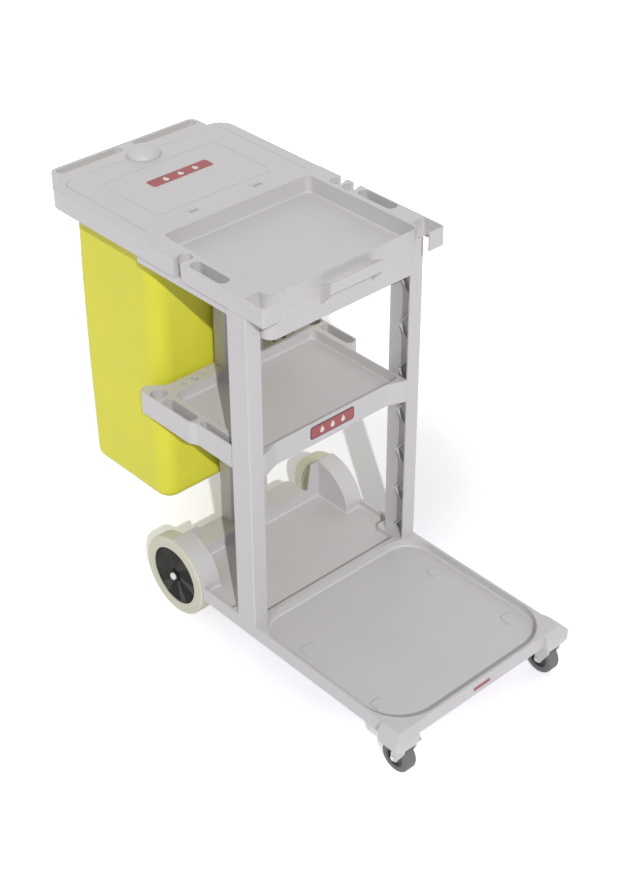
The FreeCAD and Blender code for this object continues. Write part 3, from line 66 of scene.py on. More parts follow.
# %% Places read from the frame
MM = 0.001
bag_low, bag_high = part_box("bag")
hood_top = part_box("bag_hood")[1][2]
print("bag from", [round(c, 4) for c in bag_low], "to", [round(c, 4) for c in bag_high])

# %% [markdown]
# ## Helpers for shader nodes
# A material is a small network: nodes with sockets, and links between them. Writing each
# node out takes many lines, so helpers do it: one makes a node and sets its properties, and
# one makes a math node from sockets or plain numbers. Two more start an empty material, and
# tell the rays that see a thing directly from those that only carry its light.

# %% Node helpers
def add_node(tree, kind, **settings):
    """A node with its properties set."""
    node = tree.nodes.new(kind)
    for key, value in settings.items():
        setattr(node, key, value)
    return node


def math_node(tree, operation, first, second=None, third=None, clamp=False):
    """A math node's output; sockets are linked, numbers are set."""
    node = add_node(tree, "ShaderNodeMath", operation=operation, use_clamp=clamp)
    for index, value in enumerate((first, second, third)):
        if value is None:
            continue
        if isinstance(value, (int, float)):
            node.inputs[index].default_value = value
        else:
            tree.links.new(value, node.inputs[index])
    return node.outputs[0]


def new_material(name):
    """A material with an empty network: the material, its tree and its output node."""
    material = bpy.data.materials.new(name)
    material.use_nodes = True
    tree = material.node_tree
    tree.nodes.clear()
    return material, tree, add_node(tree, "ShaderNodeOutputMaterial")


def directly_seen(tree):
    """1 for rays of the camera, of reflections and of clear things, 0 for all others."""
    rays = add_node(tree, "ShaderNodeLightPath")
    seen = math_node(tree, "MAXIMUM", rays.outputs["Is Camera Ray"], rays.outputs["Is Glossy Ray"])
    return math_node(tree, "MAXIMUM", seen, rays.outputs["Is Transmission Ray"])


print("helpers ready")

# %% [markdown]
# ## The floor
# A studio's white sweep looks brighter than its light explains. More light would make it
# white, but would bleach the cart too. Instead a glow is added that only the camera and
# the reflections see, so the cart is lit plainly and its shadow stays. The glow is weak
# where the shadow lies and grows with the distance from it, so the sweep ends in plain
# white. The floor is clear from below, so the cart's underside can be looked at.

# %% Glow by distance
GLOW_NEAR = 0.01
GLOW_STEPS = (((0.24, 0.60), 0.28), ((0.85, 1.25), 0.50))
SHADOW_MIDDLE = (-0.33, 0.38, 0.0)


def glow_strength(tree):
    """The floor's glow, rising in two soft steps with the distance from the shadow."""
    where = add_node(tree, "ShaderNodeTexCoord")
    away = add_node(tree, "ShaderNodeVectorMath", operation="DISTANCE")
    away.inputs[1].default_value = SHADOW_MIDDLE
    tree.links.new(where.outputs["Object"], away.inputs[0])
    glow = GLOW_NEAR
    for (start, end), gain in GLOW_STEPS:
        rise = add_node(tree, "ShaderNodeMapRange", interpolation_type="SMOOTHSTEP")
        rise.inputs["From Min"].default_value = start
        rise.inputs["From Max"].default_value = end
        rise.inputs["To Min"].default_value = 0.0
        rise.inputs["To Max"].default_value = gain
        tree.links.new(away.outputs["Value"], rise.inputs["Value"])
        glow = math_node(tree, "ADD", rise.outputs["Result"], glow)
    return glow


print("glow steps", GLOW_STEPS)

# %% Floor material
FLOOR_TONE = (0.915, 0.905, 0.95, 1)

pale_floor, tree, out = new_material("pale_floor")
matt = add_node(tree, "ShaderNodeBsdfDiffuse")
matt.inputs["Color"].default_value = FLOOR_TONE
glow = add_node(tree, "ShaderNodeEmission")
strength = math_node(tree, "MULTIPLY", directly_seen(tree), glow_strength(tree))
tree.links.new(strength, glow.inputs["Strength"])
both = add_node(tree, "ShaderNodeAddShader")
tree.links.new(matt.outputs[0], both.inputs[0])
tree.links.new(glow.outputs[0], both.inputs[1])
faced = add_node(tree, "ShaderNodeNewGeometry")
clear = add_node(tree, "ShaderNodeBsdfTransparent")
one_sided = add_node(tree, "ShaderNodeMixShader")
tree.links.new(faced.outputs["Backfacing"], one_sided.inputs[0])
tree.links.new(both.outputs[0], one_sided.inputs[1])
tree.links.new(clear.outputs[0], one_sided.inputs[2])
tree.links.new(one_sided.outputs[0], out.inputs["Surface"])
print("floor material", pale_floor.name)

# %% Floor
FLOOR_REACH = 14.0
FLOOR_CORNERS = [(-FLOOR_REACH, -FLOOR_REACH, 0), (FLOOR_REACH, -FLOOR_REACH, 0),
                 (FLOOR_REACH, FLOOR_REACH, 0), (-FLOOR_REACH, FLOOR_REACH, 0)]

floor_mesh = bpy.data.meshes.new("floor")
floor_mesh.from_pydata(FLOOR_CORNERS, [], [(0, 1, 2, 3)])
floor_mesh.materials.append(pale_floor)
floor = bpy.data.objects.new("floor", floor_mesh)
bpy.context.scene.collection.objects.link(floor)
print("floor", FLOOR_REACH * 2, "m wide")

# %% [markdown]
# ## The sky
# Real studios fill shadows with large white cards. Area lamps could stand for them, but
# each would need placing and would leave its own highlight. A plain white sky does the
# same with no edges. It is made stronger on the side away from the sun, where a card
# would stand, and what the camera sees of it is pure white.

# %% Sky
SKY_STRENGTH = 0.57
SKY_SLOPE = (-0.74, 0.36, 0.0)
WHITE = (1.0, 1.0, 1.0, 1.0)

world = bpy.data.worlds.new("sky")
bpy.context.scene.world = world
world.use_nodes = True
tree = world.node_tree
sky = tree.nodes["Background"]
sky.inputs["Color"].default_value = WHITE
heading = add_node(tree, "ShaderNodeTexCoord")
turned_away = add_node(tree, "ShaderNodeVectorMath", operation="DOT_PRODUCT")
turned_away.inputs[1].default_value = SKY_SLOPE
tree.links.new(heading.outputs["Generated"], turned_away.inputs[0])
fill = math_node(tree, "MULTIPLY_ADD", turned_away.outputs["Value"], SKY_STRENGTH, SKY_STRENGTH)
tree.links.new(fill, sky.inputs["Strength"])
print("sky", SKY_STRENGTH)

# %% White where the sky is seen
white = add_node(tree, "ShaderNodeBackground")
white.inputs["Color"].default_value = WHITE
white.inputs["Strength"].default_value = 1.0
pick = add_node(tree, "ShaderNodeMixShader")
tree.links.new(directly_seen(tree), pick.inputs[0])
tree.links.new(sky.outputs[0], pick.inputs[1])
tree.links.new(white.outputs[0], pick.inputs[2])
tree.links.new(pick.outputs[0], tree.nodes["World Output"].inputs["Surface"])
bpy.context.scene.view_settings.view_transform = "Standard"
print("view", bpy.context.scene.view_settings.view_transform)

# %% [markdown]
# ## The sun
# One hard light gives the cart its depth: each post throws a crisp shadow across the shelf
# and the deck, and the cart's own shadow falls behind it. A lamp close by could do it, but
# its light would fan out and fade. A sun's rays are parallel, so it lights near and far
# pieces alike. It stands low over the near corner of the platform.

# %% Sun
SUN_STRENGTH = 2.15
SUN_ELEVATION = math.radians(35.3)
SUN_AZIMUTH = math.radians(-33.5)
SUN_ANGLE = math.radians(0.7)

lamp = bpy.data.lights.new("sun", "SUN")
lamp.energy = SUN_STRENGTH
lamp.angle = SUN_ANGLE
toward_sun = Vector((math.cos(SUN_AZIMUTH) * math.cos(SUN_ELEVATION),
                     math.sin(SUN_AZIMUTH) * math.cos(SUN_ELEVATION),
                     math.sin(SUN_ELEVATION)))
sun = bpy.data.objects.new("sun", lamp)
sun.rotation_euler = toward_sun.to_track_quat("Z", "Y").to_euler()
bpy.context.scene.collection.objects.link(sun)
print("sun", SUN_STRENGTH)

# %% [markdown]
# ## The camera
# The camera stands well above the platform's corner and looks down along the cart. It
# could be aimed with a tracking constraint, but its exact turn and tilt are known, so its
# axes are worked out from them and set as a matrix, with no depth of field.

# %% Camera
EYE = Vector((2.37548, -2.10860, 2.68574))
AZIMUTH = math.radians(47.7815)
ELEVATION = math.radians(35.2909)
ROLL = math.radians(-0.3302)
LENS = 69.56
SENSOR = 36.0

back = Vector((math.sin(AZIMUTH) * math.cos(ELEVATION),
               -math.cos(AZIMUTH) * math.cos(ELEVATION), math.sin(ELEVATION)))
level = Vector((0, 0, 1)).cross(back).normalized()
upright = back.cross(level)
right_axis = level * math.cos(ROLL) + upright * math.sin(ROLL)
up_axis = upright * math.cos(ROLL) - level * math.sin(ROLL)
turn = Matrix((right_axis, up_axis, back)).transposed().to_4x4()

eye_data = bpy.data.cameras.new("camera")
eye_data.sensor_width = SENSOR
eye_data.sensor_fit = "AUTO"
eye_data.lens = LENS
camera = bpy.data.objects.new("camera", eye_data)
camera.matrix_world = Matrix.Translation(EYE) @ turn
bpy.context.scene.collection.objects.link(camera)
bpy.context.scene.camera = camera
print("camera at", [round(c, 3) for c in EYE])

# %% [markdown]
# ## Shared effects
# Moulded plastic has three marks of its making and use: a fine sand-blasted grain, soft
# moulded edges that catch light and get scuffed, and a faint unevenness of tone where
# dust and wiping leave their trace. They could be drawn anew in every material, but a
# node group is built once and placed in each with its own values, so they stay alike.

# %% Group helper
FLOAT = "NodeSocketFloat"
VECTOR = "NodeSocketVector"


def new_group(name, inputs, outputs):
    """A node group with inputs (name, value) and outputs (name, kind)."""
    group = bpy.data.node_groups.new(name, "ShaderNodeTree")
    for label, value in inputs:
        socket = group.interface.new_socket(label, in_out="INPUT", socket_type=FLOAT)
        socket.default_value = value
    for label, kind in outputs:
        group.interface.new_socket(label, in_out="OUTPUT", socket_type=kind)
    return group, add_node(group, "NodeGroupInput"), add_node(group, "NodeGroupOutput")


def noise_node(tree, detail, roughness=0.5):
    """A noise texture, which reads the places that are linked to its Vector."""
    texture = add_node(tree, "ShaderNodeTexNoise", noise_dimensions="3D")
    texture.inputs["Detail"].default_value = detail
    texture.inputs["Roughness"].default_value = roughness
    return texture


def grains_per_metre(tree, size_mm):
    """A texture's scale, from the size of its grains in millimetres."""
    return math_node(tree, "DIVIDE", 1000.0, size_mm)


print("group helper ready")

# %% [markdown]
# ### Grain
# A mould's texture is a field of shallow rounded pits about half a millimetre wide.
# An image could show it, but would need unwrapping and would stretch. Noise in object
# space has the same size everywhere. A broad noise beside it gives uneven tone.

# %% Grain group
grain, entry, leave = new_group("moulded_grain", [("Size mm", 0.6), ("Patch mm", 90.0)],
                                [("Height", FLOAT), ("Patch", FLOAT)])
place = add_node(grain, "ShaderNodeTexCoord")
for texture, size, result in ((noise_node(grain, 2.0), "Size mm", "Height"),
                              (noise_node(grain, 3.0, 0.6), "Patch mm", "Patch")):
    grain.links.new(place.outputs["Object"], texture.inputs["Vector"])
    grain.links.new(grains_per_metre(grain, entry.outputs[size]), texture.inputs["Scale"])
    grain.links.new(texture.outputs["Fac"], leave.inputs[result])
print("group", grain.name)

# %% [markdown]
# ### Edges
# A corner of moulded plastic is rounded and rubbed. Rounding every corner in the mesh
# would cost many faces. The Bevel node gives the normal of a rounded corner instead, and
# it parts from the true normal only near a corner, so their difference masks the edges.

# %% Edge group
EDGE_GAIN = 4.0
CHIP_SCALE = 120.0

edge, entry, leave = new_group("soft_edges", [("Radius m", 0.002), ("Breakup", 0.5)],
                               [("Edge", FLOAT), ("Normal", VECTOR)])
rounded = add_node(edge, "ShaderNodeBevel", samples=4)
edge.links.new(entry.outputs["Radius m"], rounded.inputs["Radius"])
flat = add_node(edge, "ShaderNodeNewGeometry")
agree = add_node(edge, "ShaderNodeVectorMath", operation="DOT_PRODUCT")
edge.links.new(rounded.outputs["Normal"], agree.inputs[0])
edge.links.new(flat.outputs["Normal"], agree.inputs[1])
apart = math_node(edge, "SUBTRACT", 1.0, agree.outputs["Value"], clamp=True)
place = add_node(edge, "ShaderNodeTexCoord")
chips = noise_node(edge, 4.0)
chips.inputs["Scale"].default_value = CHIP_SCALE
edge.links.new(place.outputs["Object"], chips.inputs["Vector"])
broken = math_node(edge, "MULTIPLY", chips.outputs["Fac"], entry.outputs["Breakup"])
kept = math_node(edge, "SUBTRACT", 1.0, broken, clamp=True)
wear = math_node(edge, "MULTIPLY", math_node(edge, "MULTIPLY", apart, EDGE_GAIN, clamp=True), kept)
edge.links.new(wear, leave.inputs["Edge"])
edge.links.new(rounded.outputs["Normal"], leave.inputs["Normal"])
print("group", edge.name)

# %% [markdown]
# ### Dust and wiping
# Dust settles on what faces up and is wiped off in streaks. It could be painted by hand,
# but only for one shape. The mask here is how far a face looks up, times a noise that is
# stretched across the cart, so it falls in the right places on every piece.

# %% Dust group
dust, entry, leave = new_group("settled_dust", [("Streak mm", 60.0)], [("Dust", FLOAT)])
flat = add_node(dust, "ShaderNodeNewGeometry")
parts = add_node(dust, "ShaderNodeSeparateXYZ")
dust.links.new(flat.outputs["Normal"], parts.inputs[0])
facing_up = math_node(dust, "MULTIPLY_ADD", parts.outputs["Z"], 0.5, 0.5)
place = add_node(dust, "ShaderNodeTexCoord")
stretch = add_node(dust, "ShaderNodeMapping")
stretch.inputs["Scale"].default_value = (1.0, 0.35, 1.0)
dust.links.new(place.outputs["Object"], stretch.inputs["Vector"])
streaks = noise_node(dust, 6.0, 0.65)
dust.links.new(stretch.outputs[0], streaks.inputs["Vector"])
dust.links.new(grains_per_metre(dust, entry.outputs["Streak mm"]), streaks.inputs["Scale"])
dust.links.new(math_node(dust, "MULTIPLY", facing_up, streaks.outputs["Fac"]), leave.inputs["Dust"])
print("group", dust.name)

# %% [markdown]
# ## Finishes
# Each finish is a Principled shader in its own material. The groups give it masks and
# heights that change over the surface, also for its gloss. They could give it everything,
# but what is the same all over, such as how metallic it is, is set on the shader itself,
# where an exported model can still read it.

# %% Finish helpers
def use_group(tree, group, **values):
    """A placed group with its inputs set."""
    node = add_node(tree, "ShaderNodeGroup", node_tree=group)
    for key, value in values.items():
        node.inputs[key.replace("_", " ")].default_value = value
    return node


def blend_colour(tree, factor, first, second):
    """A mix of two colours; each is a socket or a triple of red, green and blue."""
    mix = add_node(tree, "ShaderNodeMix", data_type="RGBA")
    tree.links.new(factor, mix.inputs["Factor"])
    for socket, value in ((mix.inputs[6], first), (mix.inputs[7], second)):
        if isinstance(value, tuple):
            socket.default_value = (*value, 1)
        else:
            tree.links.new(value, socket)
    return mix.outputs[2]


def scaled(colour, factor):
    """A colour made lighter or darker."""
    return tuple(min(channel * factor, 1.0) for channel in colour)


def press_in(tree, shader, height, strength, depth_mm, under=None):
    """A height pressed into the shader's normal, on top of the normal under it."""
    bump = add_node(tree, "ShaderNodeBump")
    bump.inputs["Strength"].default_value = strength
    bump.inputs["Distance"].default_value = depth_mm * MM
    tree.links.new(height, bump.inputs["Height"])
    if under is not None:
        tree.links.new(under, bump.inputs["Normal"])
    tree.links.new(bump.outputs["Normal"], shader.inputs["Normal"])


print("finish helpers ready")

# %% Moulded finish
PATCH_MM = 90.0
EDGE_MM = 1.5
EDGE_BREAKUP = 0.7
STREAK_MM = 70.0
ROUGH_RANGE = 0.16
ROUGH_BELOW = 0.08
GRAIN_PRESS = 0.35


def moulded_finish(name, colour, roughness, grain_mm=0.6, grain_depth=0.02, patch=0.035,
                   edge_light=1.10, dust_tone=None, dust_share=0.12, specular=0.5):
    """Moulded plastic or rubber: grain, uneven tone, soft rubbed edges and a little dust."""
    material, tree, out = new_material(name)
    shader = add_node(tree, "ShaderNodeBsdfPrincipled")
    shader.inputs["Specular IOR Level"].default_value = specular
    tree.links.new(shader.outputs[0], out.inputs["Surface"])
    marks = use_group(tree, grain, Size_mm=grain_mm, Patch_mm=PATCH_MM)
    edges = use_group(tree, edge, Radius_m=EDGE_MM * MM, Breakup=EDGE_BREAKUP)
    tone = blend_colour(tree, marks.outputs["Patch"], scaled(colour, 1 - patch),
                        scaled(colour, 1 + patch))
    tone = blend_colour(tree, edges.outputs["Edge"], tone, scaled(colour, edge_light))
    if dust_tone is not None:
        settled = use_group(tree, dust, Streak_mm=STREAK_MM)
        share = math_node(tree, "MULTIPLY", settled.outputs["Dust"], dust_share)
        tone = blend_colour(tree, share, tone, dust_tone)
    tree.links.new(tone, shader.inputs["Base Color"])
    rough = math_node(tree, "MULTIPLY_ADD", marks.outputs["Patch"], ROUGH_RANGE,
                      roughness - ROUGH_BELOW)
    tree.links.new(rough, shader.inputs["Roughness"])
    press_in(tree, shader, marks.outputs["Height"], GRAIN_PRESS, grain_depth,
             edges.outputs["Normal"])
    return material


print("moulded finish ready")

# %% [markdown]
# ### Cart plastic and small mouldings
# The cart's plastic is a pale warm grey with a satin face, its small parts are white or
# nearly black, and its badges are glossier. Each could have a network of its own, but they
# are all moulded and wear alike, so one recipe with other colours and gloss makes them.

# %% Plastic finishes
grey_plastic = moulded_finish("grey_plastic", (0.564, 0.547, 0.555), 0.46,
                              dust_tone=(0.50, 0.48, 0.45))
black_plastic = moulded_finish("black_plastic", (0.010, 0.010, 0.009), 0.50, edge_light=1.8,
                               specular=0.10)
# Painted highlight: a lighter black for the steep sides of the wheel folds, in place of the light
# they catch.
painted_light_black = moulded_finish("painted_light_black", (0.022, 0.022, 0.020), 0.44, edge_light=1.6,
                               patch=0.12, specular=0.14)
white_plastic = moulded_finish("white_plastic", (0.72, 0.71, 0.67), 0.35)
dark_plastic = moulded_finish("dark_plastic", (0.035, 0.035, 0.037), 0.45, edge_light=1.6)
badge_red = moulded_finish("badge_red", (0.335, 0.060, 0.066), 0.32, grain_depth=0.005,
                           patch=0.05)
badge_cream = moulded_finish("badge_cream", (0.66, 0.64, 0.60), 0.34, grain_depth=0.005)
print("plastic finishes ready")

# %% [markdown]
# ### Tyres
# The big tyres are cream rubber and the casters' are mid grey. They could get a recipe of
# their own, but rubber is moulded too, so the same one serves, with a rougher face, deeper
# grain and more dust.

# %% Rubber finishes
cream_rubber = moulded_finish("cream_rubber", (0.60, 0.59, 0.48), 0.62, grain_depth=0.05,
                              dust_tone=(0.42, 0.40, 0.34), dust_share=0.25)
grey_rubber = moulded_finish("grey_rubber", (0.158, 0.157, 0.157), 0.60, grain_depth=0.05,
                             dust_tone=(0.24, 0.23, 0.22), dust_share=0.3, specular=0.3)
print("rubber finishes ready")

# %% [markdown]
# ### Metal
# The axle, bolts and king pins are zinc-plated steel, and the forks are pressed steel with
# a light coating that is rubbed through at its edges. Grey paint could stand for them, but
# a metal's colour is in its reflection, so the recipe sets Metallic and keeps the same
# grain and edge groups.

# %% Metal finishes
SCRATCH_MM = 1.2
PLATING_PATCH_MM = 14.0
METAL_EDGE_MM = 0.8
METAL_BREAKUP = 0.6
METAL_TONES = (0.92, 1.05)
METAL_RANGE = 0.25
METAL_BELOW = 0.12
SCRATCH_PRESS = 0.3
SCRATCH_DEPTH = 0.02


def metal_finish(name, colour, roughness, metallic, edge_light):
    """Plated or coated steel with fine scratches."""
    material, tree, out = new_material(name)
    shader = add_node(tree, "ShaderNodeBsdfPrincipled")
    shader.inputs["Metallic"].default_value = metallic
    tree.links.new(shader.outputs[0], out.inputs["Surface"])
    marks = use_group(tree, grain, Size_mm=SCRATCH_MM, Patch_mm=PLATING_PATCH_MM)
    edges = use_group(tree, edge, Radius_m=METAL_EDGE_MM * MM, Breakup=METAL_BREAKUP)
    tone = blend_colour(tree, marks.outputs["Patch"], scaled(colour, METAL_TONES[0]),
                        scaled(colour, METAL_TONES[1]))
    tone = blend_colour(tree, edges.outputs["Edge"], tone, scaled(colour, edge_light))
    tree.links.new(tone, shader.inputs["Base Color"])
    rough = math_node(tree, "MULTIPLY_ADD", marks.outputs["Patch"], METAL_RANGE,
                      roughness - METAL_BELOW)
    tree.links.new(rough, shader.inputs["Roughness"])
    press_in(tree, shader, marks.outputs["Height"], SCRATCH_PRESS, SCRATCH_DEPTH,
             edges.outputs["Normal"])
    return material


zinc_steel = metal_finish("zinc_steel", (0.62, 0.62, 0.61), 0.38, 0.9, 1.15)
coated_steel = metal_finish("coated_steel", (0.60, 0.59, 0.57), 0.40, 0.1, 1.1)
print("metal finishes ready")

# %% [markdown]
# ### Bag cloth
# The bag is coated cloth: a tight plain weave under a soft, slightly glossy skin. Threads
# could be modelled, but there are thousands of them. Two crossed waves multiplied
# together give their height instead, and a broad noise gives the creases of the coating.

# %% Weave
THREAD_SCALE = 260.0
THREAD_WANDER = 0.6
THREAD_SHARE = 0.25


def weave_height(tree):
    """The height of a plain weave: two sets of threads at a right angle."""
    place = add_node(tree, "ShaderNodeTexCoord")
    threads = []
    for turn_by in (0.0, math.radians(90)):
        thread = add_node(tree, "ShaderNodeTexWave", wave_type="BANDS", bands_direction="Z")
        thread.inputs["Scale"].default_value = THREAD_SCALE
        thread.inputs["Distortion"].default_value = THREAD_WANDER
        turned = add_node(tree, "ShaderNodeMapping")
        turned.inputs["Rotation"].default_value = (turn_by, turn_by, 0)
        tree.links.new(place.outputs["Object"], turned.inputs["Vector"])
        tree.links.new(turned.outputs[0], thread.inputs["Vector"])
        threads.append(thread.outputs["Fac"])
    return math_node(tree, "MULTIPLY", *threads)


print("weave scale", THREAD_SCALE)

# %% Bag finish
BAG_YELLOW = (0.685, 0.665, 0.050)

bag_cloth, tree, out = new_material("bag_cloth")
shader = add_node(tree, "ShaderNodeBsdfPrincipled")
shader.inputs["Specular IOR Level"].default_value = 0.35
tree.links.new(shader.outputs[0], out.inputs["Surface"])
marks = use_group(tree, grain, Size_mm=6.0, Patch_mm=120.0)
threads = math_node(tree, "MULTIPLY", weave_height(tree), THREAD_SHARE)
height = math_node(tree, "ADD", threads, marks.outputs["Height"])
tone = blend_colour(tree, marks.outputs["Patch"], scaled(BAG_YELLOW, 0.93),
                    scaled(BAG_YELLOW, 1.06))
tree.links.new(tone, shader.inputs["Base Color"])
rough = math_node(tree, "MULTIPLY_ADD", marks.outputs["Patch"], 0.2, 0.42)
tree.links.new(rough, shader.inputs["Roughness"])
press_in(tree, shader, height, 0.4, 0.15)
print("bag finish ready")

# %% [markdown]
# ## Dressing the rigid pieces
# Every rigid piece needs its finish. They could be dressed one by one, but the record
# already says which slot each node takes its finish from. One table of slots dresses
# them all, and no node is forgotten.

# %% Finishes for the frame's nodes
FINISH = {
    "grey_plastic": grey_plastic,
    "black_plastic": black_plastic,
    "white_plastic": white_plastic,
    "dark_plastic": dark_plastic,
    "steel": zinc_steel,
    "white_metal": coated_steel,
    "cream_tyre": cream_rubber,
    "grey_tyre": grey_rubber,
    "bag_cloth": bag_cloth,
}
for part in record["subparts"]:
    piece = frame["nodes"][part["node"]]
    finish = FINISH[part["material_slot"]]
    if not piece.material_slots:
        piece.data.materials.append(finish)
    for slot in piece.material_slots:
        slot.material = finish
print("dressed", len(record["subparts"]), "nodes")

# %% [markdown]
# ## Helpers for small pieces
# Badges and covers are thin plates with softened edges. A scaled cube would have sharp
# corners that no moulding has, so an outline is closed into a plate with a chamfered upper
# edge. Other helpers lay a plate on a surface and turn a mesh into a piece that rides on
# a body, so it moves with the lid or the wheel that carries it.

# %% Plate helpers
def rounded_outline(half_long, half_high, radius, steps=6):
    """Points of a rounded rectangle, counter-clockwise, as (long, high) pairs."""
    points = []
    for turn, (across, up) in enumerate(((1, 1), (-1, 1), (-1, -1), (1, -1))):
        middle = Vector((across * (half_long - radius), up * (half_high - radius)))
        for step in range(steps + 1):
            angle = (turn + step / steps) * math.pi / 2
            points.append(middle + Vector((math.cos(angle), math.sin(angle))) * radius)
    return points


def add_plate(shell, points, low, high, chamfer, finish, place):
    """A plate between two heights with a chamfered upper edge, laid out by place."""
    count = len(points)
    middle = sum(points, Vector((0, 0))) / count
    inner = []
    for point in points:
        inward = middle - point
        inner.append(point + inward.normalized() * min(chamfer, inward.length / 2))
    rings = [(points, low), (points, high - chamfer), (inner, high)]
    rows = [[shell.verts.new(place @ Vector((*point, height))) for point in ring]
            for ring, height in rings]
    faces = [shell.faces.new(rows[-1]), shell.faces.new(list(reversed(rows[0])))]
    for lower, upper in zip(rows, rows[1:]):
        for index in range(count):
            after = (index + 1) % count
            faces.append(shell.faces.new((lower[index], lower[after],
                                          upper[after], upper[index])))
    for face in faces:
        face.material_index = finish


print("plate helpers ready")

# %% Piece helpers
def dressed_mesh(name, shell, finishes, smooth=False):
    """A named mesh from a bmesh, dressed with its finishes."""
    mesh = bpy.data.meshes.new(name)
    bmesh.ops.recalc_face_normals(shell, faces=shell.faces)
    for face in shell.faces:
        face.smooth = smooth
    shell.to_mesh(mesh)
    shell.free()
    for finish in finishes:
        mesh.materials.append(finish)
    return mesh


def make_piece(name, shell, finishes, body, smooth=False):
    """A named piece from a bmesh, dressed and riding on a body."""
    piece = bpy.data.objects.new(name, dressed_mesh(name, shell, finishes, smooth))
    bpy.context.scene.collection.objects.link(piece)
    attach(piece, body)
    return piece


def facing(origin, ahead, up):
    """A matrix that lays a plate's length along ahead and its height along up."""
    out_by = Vector(ahead).cross(Vector(up))
    turn = Matrix((ahead, up, out_by)).transposed().to_4x4()
    return Matrix.Translation(Vector(origin)) @ turn


def seat_on(node, start, direction):
    """Where a line from start meets a rigid piece."""
    hit, place = frame["nodes"][node].ray_cast(Vector(start), Vector(direction))[:2]
    if not hit:
        raise ValueError("nothing of " + node + " lies under " + str(tuple(start)))
    return place


print("piece helpers ready")

# %% [markdown]
# ## Badges
# The lid, the shelf's front and the platform's rim each carry a small set-in plate. A
# texture could colour the spot, but it would stay flat. Each is a plain red plate in a
# thin frame, the two larger ones with three drops of water, a sign that any cleaning cart
# could carry. Plate, field and drops are layers a fraction of a millimetre apart, so the
# edges of each catch the light.

# %% Drops
DROP_STEPS = 28
DROP_WIDE = 0.46
DROP_POINT = 1.2


def drop_outline(high):
    """A drop of water: a round belly drawn up to a point."""
    points = []
    for step in range(DROP_STEPS):
        angle = 2 * math.pi * step / DROP_STEPS
        narrow = math.sin(angle / 2) ** DROP_POINT
        points.append(Vector((-DROP_WIDE * high * math.sin(angle) * narrow,
                              high * math.cos(angle) / 2)))
    return points


print("drop of", DROP_STEPS, "points")

# %% Badge
LAYER = 0.35 * MM
BADGE_CHAMFERS = (0.25 * MM, 0.15 * MM, 0.12 * MM)
BADGE_FOOT = 0.05 * MM
BADGE_ROUND = 0.22
LEAST_ROUND = 0.8 * MM
DROP_SPACING = 0.24
DROP_HIGH = 0.52


def make_badge(name, place, size, frame_wide, frame_finish, body, shifts=(-1, 0, 1)):
    """A framed red plate with drops, standing just proud of the face it is set in."""
    long, high = size
    shell = bmesh.new()
    around = rounded_outline(long / 2, high / 2, high * BADGE_ROUND)
    add_plate(shell, around, BADGE_FOOT, 2 * LAYER, BADGE_CHAMFERS[0], 0, place)
    field = rounded_outline(long / 2 - frame_wide, high / 2 - frame_wide,
                            max(high * BADGE_ROUND - frame_wide, LEAST_ROUND))
    add_plate(shell, field, LAYER, 3 * LAYER, BADGE_CHAMFERS[1], 1, place)
    for shift in shifts:
        along = Vector((shift * long * DROP_SPACING, 0))
        drop = [point + along for point in drop_outline(high * DROP_HIGH)]
        add_plate(shell, drop, 2 * LAYER, 4 * LAYER, BADGE_CHAMFERS[2], 2, place)
    return make_piece(name, shell, (frame_finish, badge_red, badge_cream), body)


print("badge layers", LAYER / MM, "mm apart")

# %% Badges in their places
LID_BADGE_X = -388 * MM
SHELF_BADGE_Z = 554.5 * MM
RIM_BADGE_Z = 108 * MM
AHEAD = 0.8
ABOVE = 50 * MM
BACKWARD = (-1, 0, 0)
ACROSS = (0, 1, 0)
UP = (0, 0, 1)
DOWN = (0, 0, -1)

on_lid = seat_on("lid", (LID_BADGE_X, 0, hood_top + ABOVE), DOWN)
on_shelf = seat_on("middle_shelf", (AHEAD, 0, SHELF_BADGE_Z), BACKWARD)
on_rim = seat_on("base_deck", (AHEAD, 0, RIM_BADGE_Z), BACKWARD)
make_badge("lid_badge", facing(on_lid, ACROSS, BACKWARD), (172 * MM, 36 * MM), 1.4 * MM,
           badge_cream, "lid_body")
make_badge("shelf_badge", facing(on_shelf, ACROSS, UP), (130 * MM, 33 * MM), 2.2 * MM,
           dark_plastic, "chassis")
make_badge("rim_badge", facing(on_rim, ACROSS, UP), (54 * MM, 11 * MM), 0.9 * MM,
           badge_cream, "chassis", shifts=())
print("badges at", [[round(c, 4) for c in seat] for seat in (on_lid, on_shelf, on_rim)])

# %% [markdown]
# ## Hinge covers
# Two small rounded covers stand on the lid beside its hinge pins. They could be part of
# the lid's mesh, but that comes from the frame and isn't changed. So they are plates of
# their own, with a wide chamfer that catches the light along one side, and far enough
# from the lid's edge to clear the hood when the lid stands open.

# %% Hinge covers
COVER_LONG = 26 * MM
COVER_WIDE = 13 * MM
COVER_ROUND = 3 * MM
COVER_FOOT = -0.1 * MM
COVER_HIGH = 2.0 * MM
COVER_CHAMFER = 1.4 * MM
COVER_BACK = 6.0 * MM

for label in ("right", "left"):
    pin_low, pin_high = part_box(label + "_hinge_pin")
    cover_x = pin_low[0] - COVER_WIDE / 2 - COVER_BACK
    cover_y = (pin_low[1] + pin_high[1]) / 2
    on_lid = seat_on("lid", (cover_x, cover_y, hood_top + ABOVE), DOWN)
    shell = bmesh.new()
    add_plate(shell, rounded_outline(COVER_LONG / 2, COVER_WIDE / 2, COVER_ROUND), COVER_FOOT,
              COVER_HIGH, COVER_CHAMFER, 0, facing(on_lid, ACROSS, BACKWARD))
    make_piece(label + "_hinge_cover", shell, (grey_plastic,), "lid_body")
    print(label, "hinge cover at", [round(c, 4) for c in on_lid])

# %% [markdown]
# ## Wheel faces
# The dished face of each big wheel is a pinwheel: six folds run out from the middle, each
# with a steep side and a long smooth one. The steep side is a lighter black: painted
# highlight, standing in for the light each fold catches. A plain disc would reflect as one
# patch; the folds break the reflection up. Each face is built in rings around the axle, the
# folds twist a little as they go out, and a hidden back closes the shape.

# %% Wheel places
SIDES = ((-1, "right"), (1, "left"))


